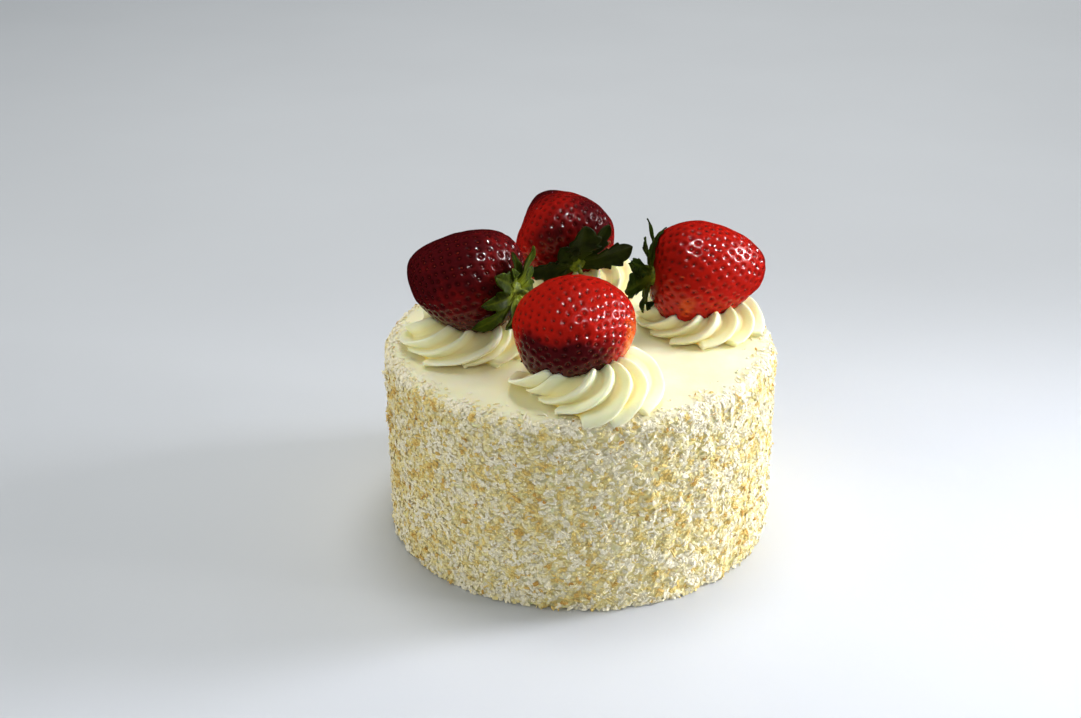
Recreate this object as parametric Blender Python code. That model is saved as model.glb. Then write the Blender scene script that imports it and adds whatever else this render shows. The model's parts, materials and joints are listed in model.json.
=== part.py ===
"""Strawberry cake: a round iced cake whose side is crusted with shredded coconut, with four piped
cream rosettes on top and a whole strawberry, leaves on, lying on each rosette.

Metres, +Z up. The origin is the centre of the cake's flat base, and the front faces -Y."""

import math
import random
from dataclasses import dataclass

import bmesh
import bpy
from mathutils import Matrix, Vector, noise
from mathutils.bvhtree import BVHTree

# The cake: a six-inch layer cake under cream, before the coconut is pressed on.
CAKE_RADIUS = 0.0806
CAKE_HEIGHT = 0.0825
EDGE_ROUNDING = 0.0055
FOOT_ROUNDING = 0.0015
SIDE_SEGMENTS = 64
SIDE_RINGS = 7
EDGE_RINGS = 3
RELIEF_DEPTH = 0.0008
RELIEF_SIZE = 0.006

# The coconut shreds that stand out of the crust.
SHRED_COUNT = 100
SHRED_LENGTH = (0.0042, 0.0064)
SHRED_WIDTH = (0.0014, 0.0022)
SHRED_THICKNESS = 0.0016
SHRED_PROUD = 0.0005
SHRED_LEAN = math.radians(14)
SHRED_TAPER = 0.45
CRUST_BOTTOM = 0.0045
CRUST_TOP = 0.0750
GOLDEN_RATIO = (1 + math.sqrt(5)) / 2
SEED = 7

# The gap between neighbouring solids.
GAP = 0.0003

# The piped rosettes. Each corner of a ridge's section has the share of the way to the next ridge
# that it lies along, and the share of the full depth that it lies in.
RIDGE_SECTION = ((0.09, 0.06), (0.35, 0.95), (0.65, 0.95), (0.91, 0.06))
ROSETTE_SLOPES = (-10, 5, 20, 36, 52, 68, 84)
ROSETTE_REACH = 0.0300
SHOULDER = 0.6
WINDING_CURVE = 0.7
RIDGE_DEPTH = 0.0056
RIDGE_FADE = 0.5

# The strawberries and their leaves.
BERRY_SEGMENTS = 18
BERRY_RINGS = 11
LEAF_DIMPLE = 0.025
DIMPLE_SPREAD = 0.45
SEPAL_THICKNESS = 0.0006
SEPAL_STATIONS = 5
SEPAL_FOLD = 0.22
HUB_RADIUS = 0.0045
SEPAL_ROOT = 0.72
HUB_HEIGHT = 0.0020
STALK_RADIUS = 0.0011
STALK_LENGTH = 0.0045
LEAF_CLEARANCE = SEPAL_THICKNESS / 2 + 2 * GAP
LEAF_LAYERS = 0.0007


@dataclass
class Ridge:
    """A ridge of a rosette: the bearing and reach of its foot, and how far it winds by the crown."""

    bearing: float
    reach: float
    winding: float = 64


@dataclass
class Rosette:
    """A piped rosette. Its ridges wind inwards, anticlockwise seen from above."""

    name: str
    centre: tuple
    height: float
    ridges: tuple


@dataclass
class Lump:
    """A swelling, or a hollow, of a berry. Polar runs from the leaves (0) to the tip (180 degrees)."""

    polar: float
    around: float
    spread: float
    height: float


@dataclass
class Sepal:
    """One leaf of a berry's green cap. Around is its bearing about the berry's axis, 90 degrees being up.
    Lean is how far it stands off the shoulder at its root, and curl how far it bends back by its tip.
    The larger broad is, the nearer the tip its widest part lies."""

    around: float
    length: float
    width: float
    lean: float = 15
    curl: float = 40
    broad: float = 0.9


@dataclass
class Berry:
    """A strawberry lying on its side. Its axis runs from the leaves to the tip."""

    name: str
    centre: tuple
    azimuth: float
    tilt: float
    roll: float
    length: float
    width: float
    thickness: float
    taper: float
    bluntness: float
    lumps: tuple
    calyx: str
    sepals: tuple


def even_ridges(count, start, reach):
    return tuple(Ridge(start + 360 * i / count, reach) for i in range(count))


ROSETTES = [
    Rosette(
        name="rosette_front",
        centre=(0.0035, -0.0540),
        height=0.0175,
        ridges=(
            Ridge(-190, 0.0245, 68),
            Ridge(-156, 0.0220, 58),
            Ridge(-132, 0.0222, 78),
            Ridge(-101, 0.0265, 68),
            Ridge(-70, 0.0280, 60),
            Ridge(-43, 0.0290, 75),
            Ridge(-5, 0.0280),
            Ridge(32, 0.0275),
            Ridge(68, 0.0270),
            Ridge(102, 0.0275),
            Ridge(138, 0.0310, 72),
        ),
    ),
    Rosette(
        name="rosette_right",
        centre=(0.0500, 0.0105),
        height=0.0145,
        ridges=(
            Ridge(-181, 0.0258),
            Ridge(-150, 0.0235, 67),
            Ridge(-124, 0.0240, 72),
            Ridge(-91, 0.0258, 60),
            Ridge(-60, 0.0275, 58),
            Ridge(-24, 0.0288, 70),
            Ridge(10, 0.0280),
            Ridge(43, 0.0280),
            Ridge(76, 0.0275),
            Ridge(110, 0.0275),
            Ridge(144, 0.0270),
        ),
    ),
    Rosette(
        name="rosette_back",
        centre=(-0.0010, 0.0520),
        height=0.0165,
        ridges=even_ridges(11, -54, 0.0283),
    ),
    Rosette(
        name="rosette_left",
        centre=(-0.0455, -0.0090),
        height=0.0170,
        ridges=(
            Ridge(-192, 0.0290, 92),
            Ridge(-162, 0.0268, 98),
            Ridge(-135, 0.0295, 88),
            Ridge(-98, 0.0275, 70),
            Ridge(-66, 0.0276, 60),
            Ridge(-34, 0.0275),
            Ridge(-1, 0.0275),
            Ridge(33, 0.0275),
            Ridge(68, 0.0275),
            Ridge(102, 0.0275),
            Ridge(135, 0.0280, 78),
        ),
    ),
]

BERRIES = [
    Berry(
        name="strawberry_front",
        centre=(-0.0025, -0.0500, 0.1065),
        azimuth=-92,
        tilt=-4,
        roll=5,
        length=0.0420,
        width=0.0480,
        thickness=0.0390,
        taper=0.27,
        bluntness=0.82,
        lumps=(
            Lump(108, 238, 0.60, 0.20),
            Lump(90, 200, 0.45, -0.03),
            Lump(90, 130, 0.60, -0.035),
            Lump(110, 308, 0.45, 0.04),
        ),
        calyx="calyx_front",
        sepals=(
            Sepal(15, 0.0140, 0.0075),
            Sepal(60, 0.0130, 0.0065, lean=5),
            Sepal(105, 0.0130, 0.0070, lean=10),
            Sepal(148, 0.0130, 0.0065, lean=5),
            Sepal(192, 0.0280, 0.0085, lean=-4, curl=10),
            Sepal(222, 0.0320, 0.0090, lean=-6, curl=6),
            Sepal(275, 0.0120, 0.0060, lean=10),
            Sepal(325, 0.0140, 0.0070, lean=12),
        ),
    ),
    Berry(
        name="strawberry_right",
        centre=(0.0531, 0.0126, 0.1065),
        azimuth=16,
        tilt=-2,
        roll=0,
        length=0.0510,
        width=0.0390,
        thickness=0.0433,
        taper=0.27,
        bluntness=0.88,
        lumps=(
            Lump(125, 270, 0.45, -0.05),
            Lump(40, 80, 0.60, -0.02),
            Lump(65, 245, 0.65, 0.09),
        ),
        calyx="calyx_right",
        sepals=(
            Sepal(94, 0.0262, 0.0030, lean=-13, curl=-46),
            Sepal(111, 0.0220, 0.0064, lean=21, curl=6, broad=1.0),
            Sepal(71, 0.0205, 0.0070, lean=-9, curl=44, broad=1.2),
            Sepal(124, 0.0150, 0.0100, lean=60, curl=4, broad=1.4),
            Sepal(31, 0.0115, 0.0075, lean=70, curl=10, broad=1.2),
            Sepal(189, 0.0190, 0.0150, lean=66, curl=10, broad=1.3),
            Sepal(266, 0.0220, 0.0080, lean=12, curl=42, broad=1.2),
            Sepal(231, 0.0170, 0.0070, lean=29, curl=12, broad=1.2),
            Sepal(350, 0.0140, 0.0070, lean=10),
            Sepal(311, 0.0130, 0.0070, lean=26),
        ),
    ),
    Berry(
        name="strawberry_back",
        centre=(-0.0088, 0.0500, 0.1098),
        azimuth=113,
        tilt=25,
        roll=0,
        length=0.0420,
        width=0.0440,
        thickness=0.0445,
        taper=0.42,
        bluntness=0.92,
        lumps=(
            Lump(105, 20, 0.40, -0.10),
            Lump(70, 0, 0.50, 0.03),
            Lump(150, 60, 0.50, 0.05),
        ),
        calyx="calyx_back",
        sepals=(
            Sepal(89, 0.0240, 0.0170, lean=16, curl=28, broad=1.5),
            Sepal(122, 0.0235, 0.0105, lean=8, curl=28, broad=1.6),
            Sepal(161, 0.0255, 0.0170, lean=14, curl=20, broad=1.6),
            Sepal(52, 0.0155, 0.0125, lean=17, curl=35, broad=1.3),
            Sepal(3, 0.0235, 0.0130, lean=13, curl=30, broad=1.3),
            Sepal(321, 0.0140, 0.0085, lean=17, broad=1.1),
            Sepal(213, 0.0150, 0.0100, lean=23, curl=30, broad=1.2),
        ),
    ),
    Berry(
        name="strawberry_left",
        centre=(-0.0469, -0.0086, 0.1113),
        azimuth=152,
        tilt=1,
        roll=0,
        length=0.0490,
        width=0.0450,
        thickness=0.0405,
        taper=0.30,
        bluntness=0.90,
        lumps=(
            Lump(165, 90, 0.50, 0.06),
            Lump(60, 90, 0.55, 0.09),
            Lump(120, 315, 0.55, 0.07),
        ),
        calyx="calyx_left",
        sepals=(
            Sepal(95, 0.0215, 0.0058, lean=33, curl=20, broad=1.2),
            Sepal(78, 0.0185, 0.0060, lean=18, curl=30, broad=1.0),
            Sepal(56, 0.0165, 0.0062, lean=26, curl=20, broad=1.0),
            Sepal(27, 0.0180, 0.0098, lean=26, curl=34, broad=1.3),
            Sepal(355, 0.0210, 0.0092, lean=18, curl=56, broad=1.3),
            Sepal(323, 0.0220, 0.0085, lean=7, curl=60, broad=1.3),
            Sepal(296, 0.0165, 0.0080, lean=18, broad=1.1),
            Sepal(262, 0.0140, 0.0065, lean=30, curl=20, broad=1.0),
            Sepal(223, 0.0130, 0.0065, lean=26, curl=30),
            Sepal(186, 0.0130, 0.0070, lean=17, curl=35),
            Sepal(147, 0.0130, 0.0065, lean=20, curl=35),
        ),
    ),
]


def clear_scene():
    for obj in list(bpy.data.objects):
        bpy.data.objects.remove(obj)


def material(name, colour, roughness):
    made = bpy.data.materials.new(name)
    made.use_nodes = True
    shader = made.node_tree.nodes["Principled BSDF"]
    shader.inputs["Base Color"].default_value = (*colour, 1)
    shader.inputs["Roughness"].default_value = roughness
    shader.inputs["Metallic"].default_value = 0
    return made


def add_object(name, bm, surface=None, smooth_angle=None):
    """Turns a bmesh into an object of that name, with its faces pointing out."""
    bmesh.ops.recalc_face_normals(bm, faces=bm.faces)
    mesh = bpy.data.meshes.new(name)
    bm.to_mesh(mesh)
    bm.free()
    obj = bpy.data.objects.new(name, mesh)
    bpy.context.scene.collection.objects.link(obj)
    if surface:
        mesh.materials.append(surface)
    if smooth_angle:
        mesh.shade_smooth()
        mesh.set_sharp_from_angle(angle=math.radians(smooth_angle))
    return obj


def skin_rings(bm, rings, pole_first=None, pole_last=None):
    """A closed skin over rings of equally many points. Each end is a flat cap, or a fan to a pole."""
    loops = [[bm.verts.new(place) for place in ring] for ring in rings]
    count = len(loops[0])
    for lower, upper in zip(loops, loops[1:]):
        for i in range(count):
            j = (i + 1) % count
            bm.faces.new((lower[i], lower[j], upper[j], upper[i]))
    for rim, pole in ((loops[0], pole_first), (loops[-1], pole_last)):
        if pole is None:
            bm.faces.new(rim)
            continue
        end = bm.verts.new(pole)
        for i in range(count):
            bm.faces.new((rim[i], rim[(i + 1) % count], end))


def applied_mesh(obj):
    """The mesh that obj has once its modifiers are applied."""
    bpy.context.view_layer.update()
    evaluated = obj.evaluated_get(bpy.context.evaluated_depsgraph_get())
    return bpy.data.meshes.new_from_object(evaluated)


def apply_modifiers(obj):
    result = applied_mesh(obj)
    obj.modifiers.clear()
    obj.data = result


def connected_faces(start):
    """The faces that can be reached from one face across its edges."""
    found = {start}
    front = [start]
    while front:
        face = front.pop()
        for edge in face.edges:
            for other in edge.link_faces:
                if other not in found:
                    found.add(other)
                    front.append(other)
    return found


def keep_outer_skin(obj):
    """Fills the hollows that a union has sealed and drops its loose scraps: both are skins of their own."""
    bm = bmesh.new()
    bm.from_mesh(obj.data)
    bmesh.ops.triangulate(bm, faces=bm.faces)
    left = set(bm.faces)
    skins = []
    while left:
        skins.append(connected_faces(next(iter(left))))
        left -= skins[-1]
    outer = max(skins, key=len)
    bmesh.ops.delete(bm, geom=[face for face in bm.faces if face not in outer], context="FACES")
    bm.to_mesh(obj.data)
    bm.free()


def join_pieces(base, pieces):
    """Fuses pieces to base by one Boolean union, then removes them."""
    group = bpy.data.collections.new("pieces")
    bpy.context.scene.collection.children.link(group)
    for piece in pieces:
        bpy.context.scene.collection.objects.unlink(piece)
        group.objects.link(piece)
    union = base.modifiers.new("fuse", "BOOLEAN")
    union.operation = "UNION"
    union.operand_type = "COLLECTION"
    union.collection = group
    apply_modifiers(base)
    keep_outer_skin(base)
    for piece in pieces:
        bpy.data.objects.remove(piece)
    bpy.data.collections.remove(group)


# ---- The cake ----


def cake_profile(grow=0.0):
    """(radius, height, share of the crust's relief) of the cake, or of one that is larger by grow."""
    wall_radius = CAKE_RADIUS + grow
    wall_top = CAKE_HEIGHT - EDGE_ROUNDING
    rounding = EDGE_ROUNDING + grow
    points = [(wall_radius - FOOT_ROUNDING, 0.0, 0)]
    for i in range(SIDE_RINGS + 1):
        share = i / SIDE_RINGS
        points.append((wall_radius, FOOT_ROUNDING + (wall_top - FOOT_ROUNDING) * share, 1))
    for i in range(1, EDGE_RINGS + 1):
        turn = math.pi / 2 * i / EDGE_RINGS
        inset = rounding * (1 - math.cos(turn))
        points.append((wall_radius - inset, wall_top + rounding * math.sin(turn), 0))
    return points


def cake_body(name, surface=None, grow=0.0, relief_depth=RELIEF_DEPTH):
    """The iced cake, its wall slightly uneven."""
    bm = bmesh.new()
    rings = []
    for radius, height, relief in cake_profile(grow):
        ring = []
        for i in range(SIDE_SEGMENTS):
            turn = 2 * math.pi * i / SIDE_SEGMENTS
            outward = Vector((math.cos(turn), math.sin(turn), 0))
            place = outward * radius + Vector((0, 0, height))
            bump = noise.noise(place / RELIEF_SIZE) * relief_depth * relief
            ring.append(place + outward * bump)
        rings.append(ring)
    skin_rings(bm, rings)
    return add_object(name, bm, surface, smooth_angle=40)


def shred(rng, index):
    """A splinter of coconut, thickest in the middle. The golden ratio spreads them evenly on the wall."""
    turn = 2 * math.pi * index / GOLDEN_RATIO
    height = CRUST_BOTTOM + (CRUST_TOP - CRUST_BOTTOM) * (index + 0.5) / SHRED_COUNT
    outward = Vector((math.cos(turn), math.sin(turn), 0))
    place = outward * (CAKE_RADIUS + SHRED_PROUD) + Vector((0, 0, height))
    facing = outward.to_track_quat("Z", "Y").to_matrix().to_4x4()
    slant = Matrix.Rotation(rng.uniform(0, math.pi), 4, "Z")
    lean = Matrix.Rotation(rng.uniform(-SHRED_LEAN, SHRED_LEAN), 4, "Y")
    frame = Matrix.Translation(place) @ facing @ slant @ lean
    length = rng.uniform(*SHRED_LENGTH)
    width = rng.uniform(*SHRED_WIDTH)
    rings = []
    for along, share in ((-0.5, SHRED_TAPER), (0.0, 1.0), (0.5, SHRED_TAPER)):
        half_width = width * share / 2
        half_thickness = SHRED_THICKNESS * share / 2
        corners = ((-1, -1), (1, -1), (1, 1), (-1, 1))
        rings.append(
            [frame @ Vector((length * along, half_width * a, half_thickness * b)) for a, b in corners]
        )
    bm = bmesh.new()
    skin_rings(bm, rings)
    return add_object(f"shred_{index}", bm)


def crusted_cake(surface):
    rng = random.Random(SEED)
    cake = cake_body("iced_cake", surface)
    join_pieces(cake, [shred(rng, index) for index in range(SHRED_COUNT)])


# ---- The strawberries ----


def berry_frame(berry):
    """The berry's own axes in the cake's frame: X to the tip, and Z up where it lies level."""
    turn = Matrix.Rotation(math.radians(berry.azimuth), 4, "Z")
    tilt = Matrix.Rotation(math.radians(-berry.tilt), 4, "Y")
    roll = Matrix.Rotation(math.radians(berry.roll), 4, "X")
    return Matrix.Translation(berry.centre) @ turn @ tilt @ roll


def bearing(polar, around):
    return Vector(
        (-math.cos(polar), math.sin(polar) * math.cos(around), math.sin(polar) * math.sin(around))
    )


def berry_outline(berry, polar):
    """The berry's radius at a polar angle, before it is scaled so that its widest part is 1."""
    return max(math.sin(polar), 0) ** berry.bluntness * (1 + berry.taper * math.cos(polar))


def berry_point(berry, polar, around, grow=0.0):
    """A point of the skin in the berry's own axes, or of a skin that is larger by grow."""
    widest = max(berry_outline(berry, math.pi * i / 90) for i in range(91))
    radius = berry_outline(berry, polar) / widest / 2
    dimple = LEAF_DIMPLE * math.exp(-((polar / DIMPLE_SPREAD) ** 2))
    swell = 1.0
    for lump in berry.lumps:
        away = bearing(polar, around) - bearing(math.radians(lump.polar), math.radians(lump.around))
        swell += lump.height * math.exp(-((away.length / lump.spread) ** 2))
    place = swell * Vector(
        (
            (dimple - math.cos(polar) / 2) * berry.length,
            radius * math.cos(around) * berry.width,
            radius * math.sin(around) * berry.thickness,
        )
    )
    return place + place.normalized() * grow


def berry_body(berry, name, surface=None, grow=0.0):
    bm = bmesh.new()
    rings = []
    for i in range(1, BERRY_RINGS):
        polar = math.pi * i / BERRY_RINGS
        turns = [2 * math.pi * k / BERRY_SEGMENTS for k in range(BERRY_SEGMENTS)]
        rings.append([berry_point(berry, polar, turn, grow) for turn in turns])
    skin_rings(bm, rings, berry_point(berry, 0, 0, grow), berry_point(berry, math.pi, 0, grow))
    bm.transform(berry_frame(berry))
    return add_object(name, bm, surface, smooth_angle=60)


# ---- The rosettes ----


def crest(ridge, climb):
    """The turn and the reach of a ridge's crest where the skin has climbed by an angle from its foot."""
    rise = max(math.sin(climb), 0)
    turn = math.radians(ridge.bearing + ridge.winding * rise**WINDING_CURVE)
    return turn, ridge.reach * math.cos(climb) ** SHOULDER


def rosette_ring(rosette, slope):
    """One ring of the piped skin. Slope climbs from the foot (0) to the crown (90 degrees)."""
    climb = math.radians(slope)
    rise = max(math.sin(climb), 0)
    depth = RIDGE_DEPTH * (1 - RIDGE_FADE * rise)
    crests = [crest(ridge, climb) for ridge in rosette.ridges]
    first_turn, first_reach = crests[0]
    crests.append((first_turn + 2 * math.pi, first_reach))
    ring = []
    for (turn, reach), (next_turn, next_reach) in zip(crests, crests[1:]):
        for share, sunk in RIDGE_SECTION:
            hollow = depth * sunk
            here = turn + (next_turn - turn) * share
            out = reach + (next_reach - reach) * share - hollow * math.cos(climb)
            lift = rosette.height * math.sin(climb) - hollow * rise
            ring.append(Vector((out * math.cos(here), out * math.sin(here), lift)))
    return ring


def sagged(place):
    """Cream that reaches past the cake's flat top bends down along its rounded edge."""
    flat_radius = CAKE_RADIUS - EDGE_ROUNDING
    reach = place.xy.length
    if reach <= flat_radius:
        return place
    bend = min((reach - flat_radius) / EDGE_ROUNDING, math.pi / 2)
    inwards = (flat_radius + EDGE_ROUNDING * math.sin(bend)) / reach
    drop = EDGE_ROUNDING * (1 - math.cos(bend))
    return Vector((place.x * inwards, place.y * inwards, place.z - drop))


def cut_away(body, cutter):
    cut = body.modifiers.new("cut", "BOOLEAN")
    cut.operation = "DIFFERENCE"
    cut.object = cutter
    apply_modifiers(body)


def rosette_body(rosette, berry, cake_print, surface):
    """A rosette that sits on the cake's top and holds the hollow that its berry presses into it."""
    middle = Vector((*rosette.centre, CAKE_HEIGHT))
    rings = [[sagged(middle + place) for place in rosette_ring(rosette, slope)] for slope in ROSETTE_SLOPES]
    bm = bmesh.new()
    skin_rings(bm, rings)
    body = add_object(rosette.name, bm, surface, smooth_angle=35)
    cut_away(body, cake_print)
    berry_print = berry_body(berry, "berry_print", grow=GAP)
    cut_away(body, berry_print)
    bpy.data.objects.remove(berry_print)


# ---- The leaves ----


def floor_height(place):
    """How high the cream stands under a point: the cake's top, or a rosette's dome."""
    height = CAKE_HEIGHT + GAP
    for rosette in ROSETTES:
        away = math.dist(place.xy, rosette.centre) / ROSETTE_REACH
        if away < 1:
            dome = math.sqrt(1 - away ** (2 / SHOULDER))
            height = max(height, CAKE_HEIGHT + GAP + rosette.height * dome)
    return height


def clear_of(place, skins, clearance):
    """Moves a leaf's point out of the berries and up off the cream."""
    for skin in skins:
        near, outward, _, distance = skin.find_nearest(place)
        inside = (place - near).dot(outward) < 0
        if inside or distance < clearance:
            place = near + outward * clearance
    place.z = max(place.z, floor_height(place) + clearance)
    return place


def sepal_width(share, broad):
    """A leaf's width, as a share of its widest, from root to tip."""
    return max(0.05, math.sin(math.pi * (0.10 + 0.90 * share**broad)) ** 0.8)


def sepal_sheet(bm, berry, sepal, frame, skins):
    """The leaf's middle surface: two strips that meet at a slightly sunken midrib. Each leaf lies
    a little further out than the one before it."""
    around = math.radians(sepal.around)
    outward = Vector((0, math.cos(around), math.sin(around)))
    across = Vector((0, -math.sin(around), math.cos(around)))
    root = HUB_RADIUS * SEPAL_ROOT
    order = berry.sepals.index(sepal) / len(berry.sepals)
    clearance = LEAF_CLEARANCE + LEAF_LAYERS * order
    place = berry_point(berry, 0, 0) - Vector((clearance, 0, 0)) + outward * root
    step = (sepal.length - root) / (SEPAL_STATIONS - 1)
    rows = []
    for i in range(SEPAL_STATIONS):
        share = i / (SEPAL_STATIONS - 1)
        lean = math.radians(sepal.lean - sepal.curl * share)
        along = outward * math.cos(lean) + Vector((-math.sin(lean), 0, 0))
        lift = outward * math.sin(lean) + Vector((math.cos(lean), 0, 0))
        half = across * sepal.width * sepal_width(share, sepal.broad) / 2
        fold = lift * -SEPAL_FOLD * half.length
        points = (place - half + fold, place, place + half + fold)
        rows.append([bm.verts.new(clear_of(frame @ point, skins, clearance)) for point in points])
        place = place + along * step
    for lower, upper in zip(rows, rows[1:]):
        for i in range(2):
            bm.faces.new((lower[i], lower[i + 1], upper[i + 1], upper[i]))
    bmesh.ops.triangulate(bm, faces=bm.faces)


def sepal_body(index, berry, sepal, frame, skins):
    """A thin leaf, with both faces split into the same triangles."""
    bm = bmesh.new()
    sepal_sheet(bm, berry, sepal, frame, skins)
    leaf = add_object(f"sepal_{index}", bm)
    solid = leaf.modifiers.new("thickness", "SOLIDIFY")
    solid.thickness = SEPAL_THICKNESS
    solid.offset = 0
    apply_modifiers(leaf)
    return leaf


def hub_and_stalk(berry, frame, surface):
    """The green button that the leaves grow from, and the stub of the stalk."""
    root = berry_point(berry, 0, 0).x - GAP
    outline = (
        (root, HUB_RADIUS),
        (root - HUB_HEIGHT * 0.6, HUB_RADIUS * 0.9),
        (root - HUB_HEIGHT, STALK_RADIUS * 1.7),
        (root - HUB_HEIGHT - STALK_LENGTH * 0.3, STALK_RADIUS),
        (root - HUB_HEIGHT - STALK_LENGTH, STALK_RADIUS * 0.9),
    )
    sides = 8
    rings = []
    for along, radius in outline:
        turns = [2 * math.pi * k / sides for k in range(sides)]
        rings.append([Vector((along, radius * math.cos(t), radius * math.sin(t))) for t in turns])
    bm = bmesh.new()
    skin_rings(bm, rings)
    bm.transform(frame)
    return add_object(berry.calyx, bm, surface, smooth_angle=40)


def calyx_body(berry, skins, surface):
    frame = berry_frame(berry)
    calyx = hub_and_stalk(berry, frame, surface)
    leaves = [
        sepal_body(index, berry, sepal, frame, skins) for index, sepal in enumerate(berry.sepals)
    ]
    join_pieces(calyx, leaves)


def main():
    clear_scene()
    coconut = material("coconut_crust", (0.86, 0.78, 0.55), 0.85)
    cream = material("whipped_cream", (0.93, 0.88, 0.62), 0.5)
    berry_skin = material("strawberry_skin", (0.55, 0.03, 0.02), 0.25)
    leaf_green = material("strawberry_leaf", (0.08, 0.16, 0.03), 0.6)
    crusted_cake(coconut)
    cake_print = cake_body("cake_print", grow=GAP, relief_depth=0)
    berries = []
    for rosette, berry in zip(ROSETTES, BERRIES):
        rosette_body(rosette, berry, cake_print, cream)
        berries.append(berry_body(berry, berry.name, berry_skin))
    bpy.data.objects.remove(cake_print)
    bpy.context.view_layer.update()
    depsgraph = bpy.context.evaluated_depsgraph_get()
    skins = [BVHTree.FromObject(body, depsgraph) for body in berries]
    for berry in BERRIES:
        calyx_body(berry, skins, leaf_green)


main()
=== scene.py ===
"""The strawberry cake as it looks: cream with a coat of toasted coconut, piped rosettes, and
dimpled strawberries with their seeds and leaves. Metres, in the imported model's own frame."""

import json
import math
import random
from dataclasses import dataclass

import bpy
import numpy as np
from mathutils import Matrix, Vector, noise
from mathutils.bvhtree import BVHTree
from mathutils.kdtree import KDTree

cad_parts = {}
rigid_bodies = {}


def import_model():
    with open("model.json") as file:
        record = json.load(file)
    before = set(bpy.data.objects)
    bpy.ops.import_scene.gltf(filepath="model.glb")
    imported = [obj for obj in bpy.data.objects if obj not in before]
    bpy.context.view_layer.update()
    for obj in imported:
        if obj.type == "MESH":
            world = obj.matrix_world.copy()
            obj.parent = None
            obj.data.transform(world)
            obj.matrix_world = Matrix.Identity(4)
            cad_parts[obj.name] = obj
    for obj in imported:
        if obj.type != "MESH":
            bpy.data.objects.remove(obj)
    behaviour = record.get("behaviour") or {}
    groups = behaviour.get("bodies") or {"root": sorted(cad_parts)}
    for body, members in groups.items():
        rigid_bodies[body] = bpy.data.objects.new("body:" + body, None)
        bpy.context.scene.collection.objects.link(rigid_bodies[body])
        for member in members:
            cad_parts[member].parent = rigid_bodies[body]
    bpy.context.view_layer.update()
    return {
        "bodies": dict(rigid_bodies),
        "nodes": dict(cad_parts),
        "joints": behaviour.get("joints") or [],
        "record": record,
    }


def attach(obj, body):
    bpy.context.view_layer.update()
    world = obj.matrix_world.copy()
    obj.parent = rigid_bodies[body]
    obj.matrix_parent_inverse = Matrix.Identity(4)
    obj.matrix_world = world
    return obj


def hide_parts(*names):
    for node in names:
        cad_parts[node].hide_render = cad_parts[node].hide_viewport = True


# ---- Driving sizes ----

CAKE_RADIUS = 0.0806
CAKE_HEIGHT = 0.0825
EDGE_ROUNDING = 0.0055
FOOT_ROUNDING = 0.0015
FLAT_RADIUS = CAKE_RADIUS - EDGE_ROUNDING
WALL_TOP = CAKE_HEIGHT - EDGE_ROUNDING
RELIEF_DEPTH = 0.0008
RELIEF_SIZE = 0.006
CLUMP_DEPTH = 0.0010
CLUMP_SIZE = 0.0036

SHOULDER = 0.6
WINDING_CURVE = 0.55
RIDGE_DEPTH = 0.0064
RIDGE_FADE = 0.5

LEAF_DIMPLE = 0.025
DIMPLE_SPREAD = 0.45
HUB_RADIUS = 0.0045
HUB_HEIGHT = 0.0020
STALK_RADIUS = 0.0011
STALK_LENGTH = 0.0045
SEPAL_ROOT = 0.72
SEPAL_FOLD = 0.22

# ---- The camera and the lights ----

CAMERA_PLACE = (0.0, -0.58226, 0.34615)
CAMERA_TURN = (64.739, 0.425, 1.419)
CAMERA_LENS = 50.89
SENSOR_WIDTH = 36
KEY_PLACE = (0.764, 0.147, 0.400)
KEY_AIM = (0.026, -0.157, 0.0)
CAKE_MIDDLE = (0, 0, 0.04)
NARROW = 56
FLOOR_HALF = 6.0
SKY_COLOUR = (0.80, 0.90, 1.0)
SKY_STRENGTH = 0.31
COOL_LIGHT = (0.84, 0.87, 1.0)

# ---- Colours, as linear light ----

FLOOR_COLOUR = (0.628, 0.636, 0.636)
FLOOR_PALE = (0.646, 0.655, 0.655)
CREAM = (0.94, 0.86, 0.52)
CREAM_PALE = (0.96, 0.90, 0.62)
PIPED_CREAM = (0.985, 0.92, 0.54)
PIPED_PALE = (0.985, 0.94, 0.63)
# Golden colour painted on the cream as shade, in the rosettes' valleys and between the coconut flakes.
CREAM_PAINTED_SHADE = (0.92, 0.68, 0.10)
COCONUT_WHITE = (0.99, 0.92, 0.72)
COCONUT_PALE = (0.985, 0.89, 0.59)
COCONUT_IVORY = (0.95, 0.83, 0.43)
COCONUT_STRAW = (0.93, 0.77, 0.31)
COCONUT_GOLD_PALE = (0.91, 0.71, 0.26)
COCONUT_GOLDEN = (0.86, 0.63, 0.20)
COCONUT_BROWN = (0.62, 0.34, 0.08)
COCONUT_GRAIN = (0.86, 0.84, 0.80)
BERRY_RED = (0.40, 0.009, 0.004)
BERRY_DARK = (0.066, 0.004, 0.005)
# Orange skin: the berry's own unripe colour, and on the right berry also a painted glow of light bounced
# from the cream.
BERRY_UNRIPE_AND_GLOW = (0.72, 0.13, 0.01)
MOTTLING = 0.36
# Colour multiplied into the seeds' dimples as painted shade.
DIMPLE_PAINTED_SHADE = (0.50, 0.36, 0.38)
SEED_PALE = (0.20, 0.022, 0.010)
SEED_DARK = (0.070, 0.008, 0.006)
LEAF_SHADES = {
    "front": ((0.014, 0.026, 0.002), (0.004, 0.008, 0.001), (0.040, 0.050, 0.004)),
    "right": ((0.024, 0.046, 0.004), (0.006, 0.013, 0.001), (0.110, 0.130, 0.010)),
    "back": ((0.016, 0.024, 0.002), (0.006, 0.009, 0.001), (0.030, 0.042, 0.003)),
    "left": ((0.050, 0.080, 0.004), (0.010, 0.018, 0.001), (0.200, 0.240, 0.012)),
}
HUB_GREEN = (0.26, 0.30, 0.02)
HUB_DARK = (0.05, 0.08, 0.006)


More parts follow.
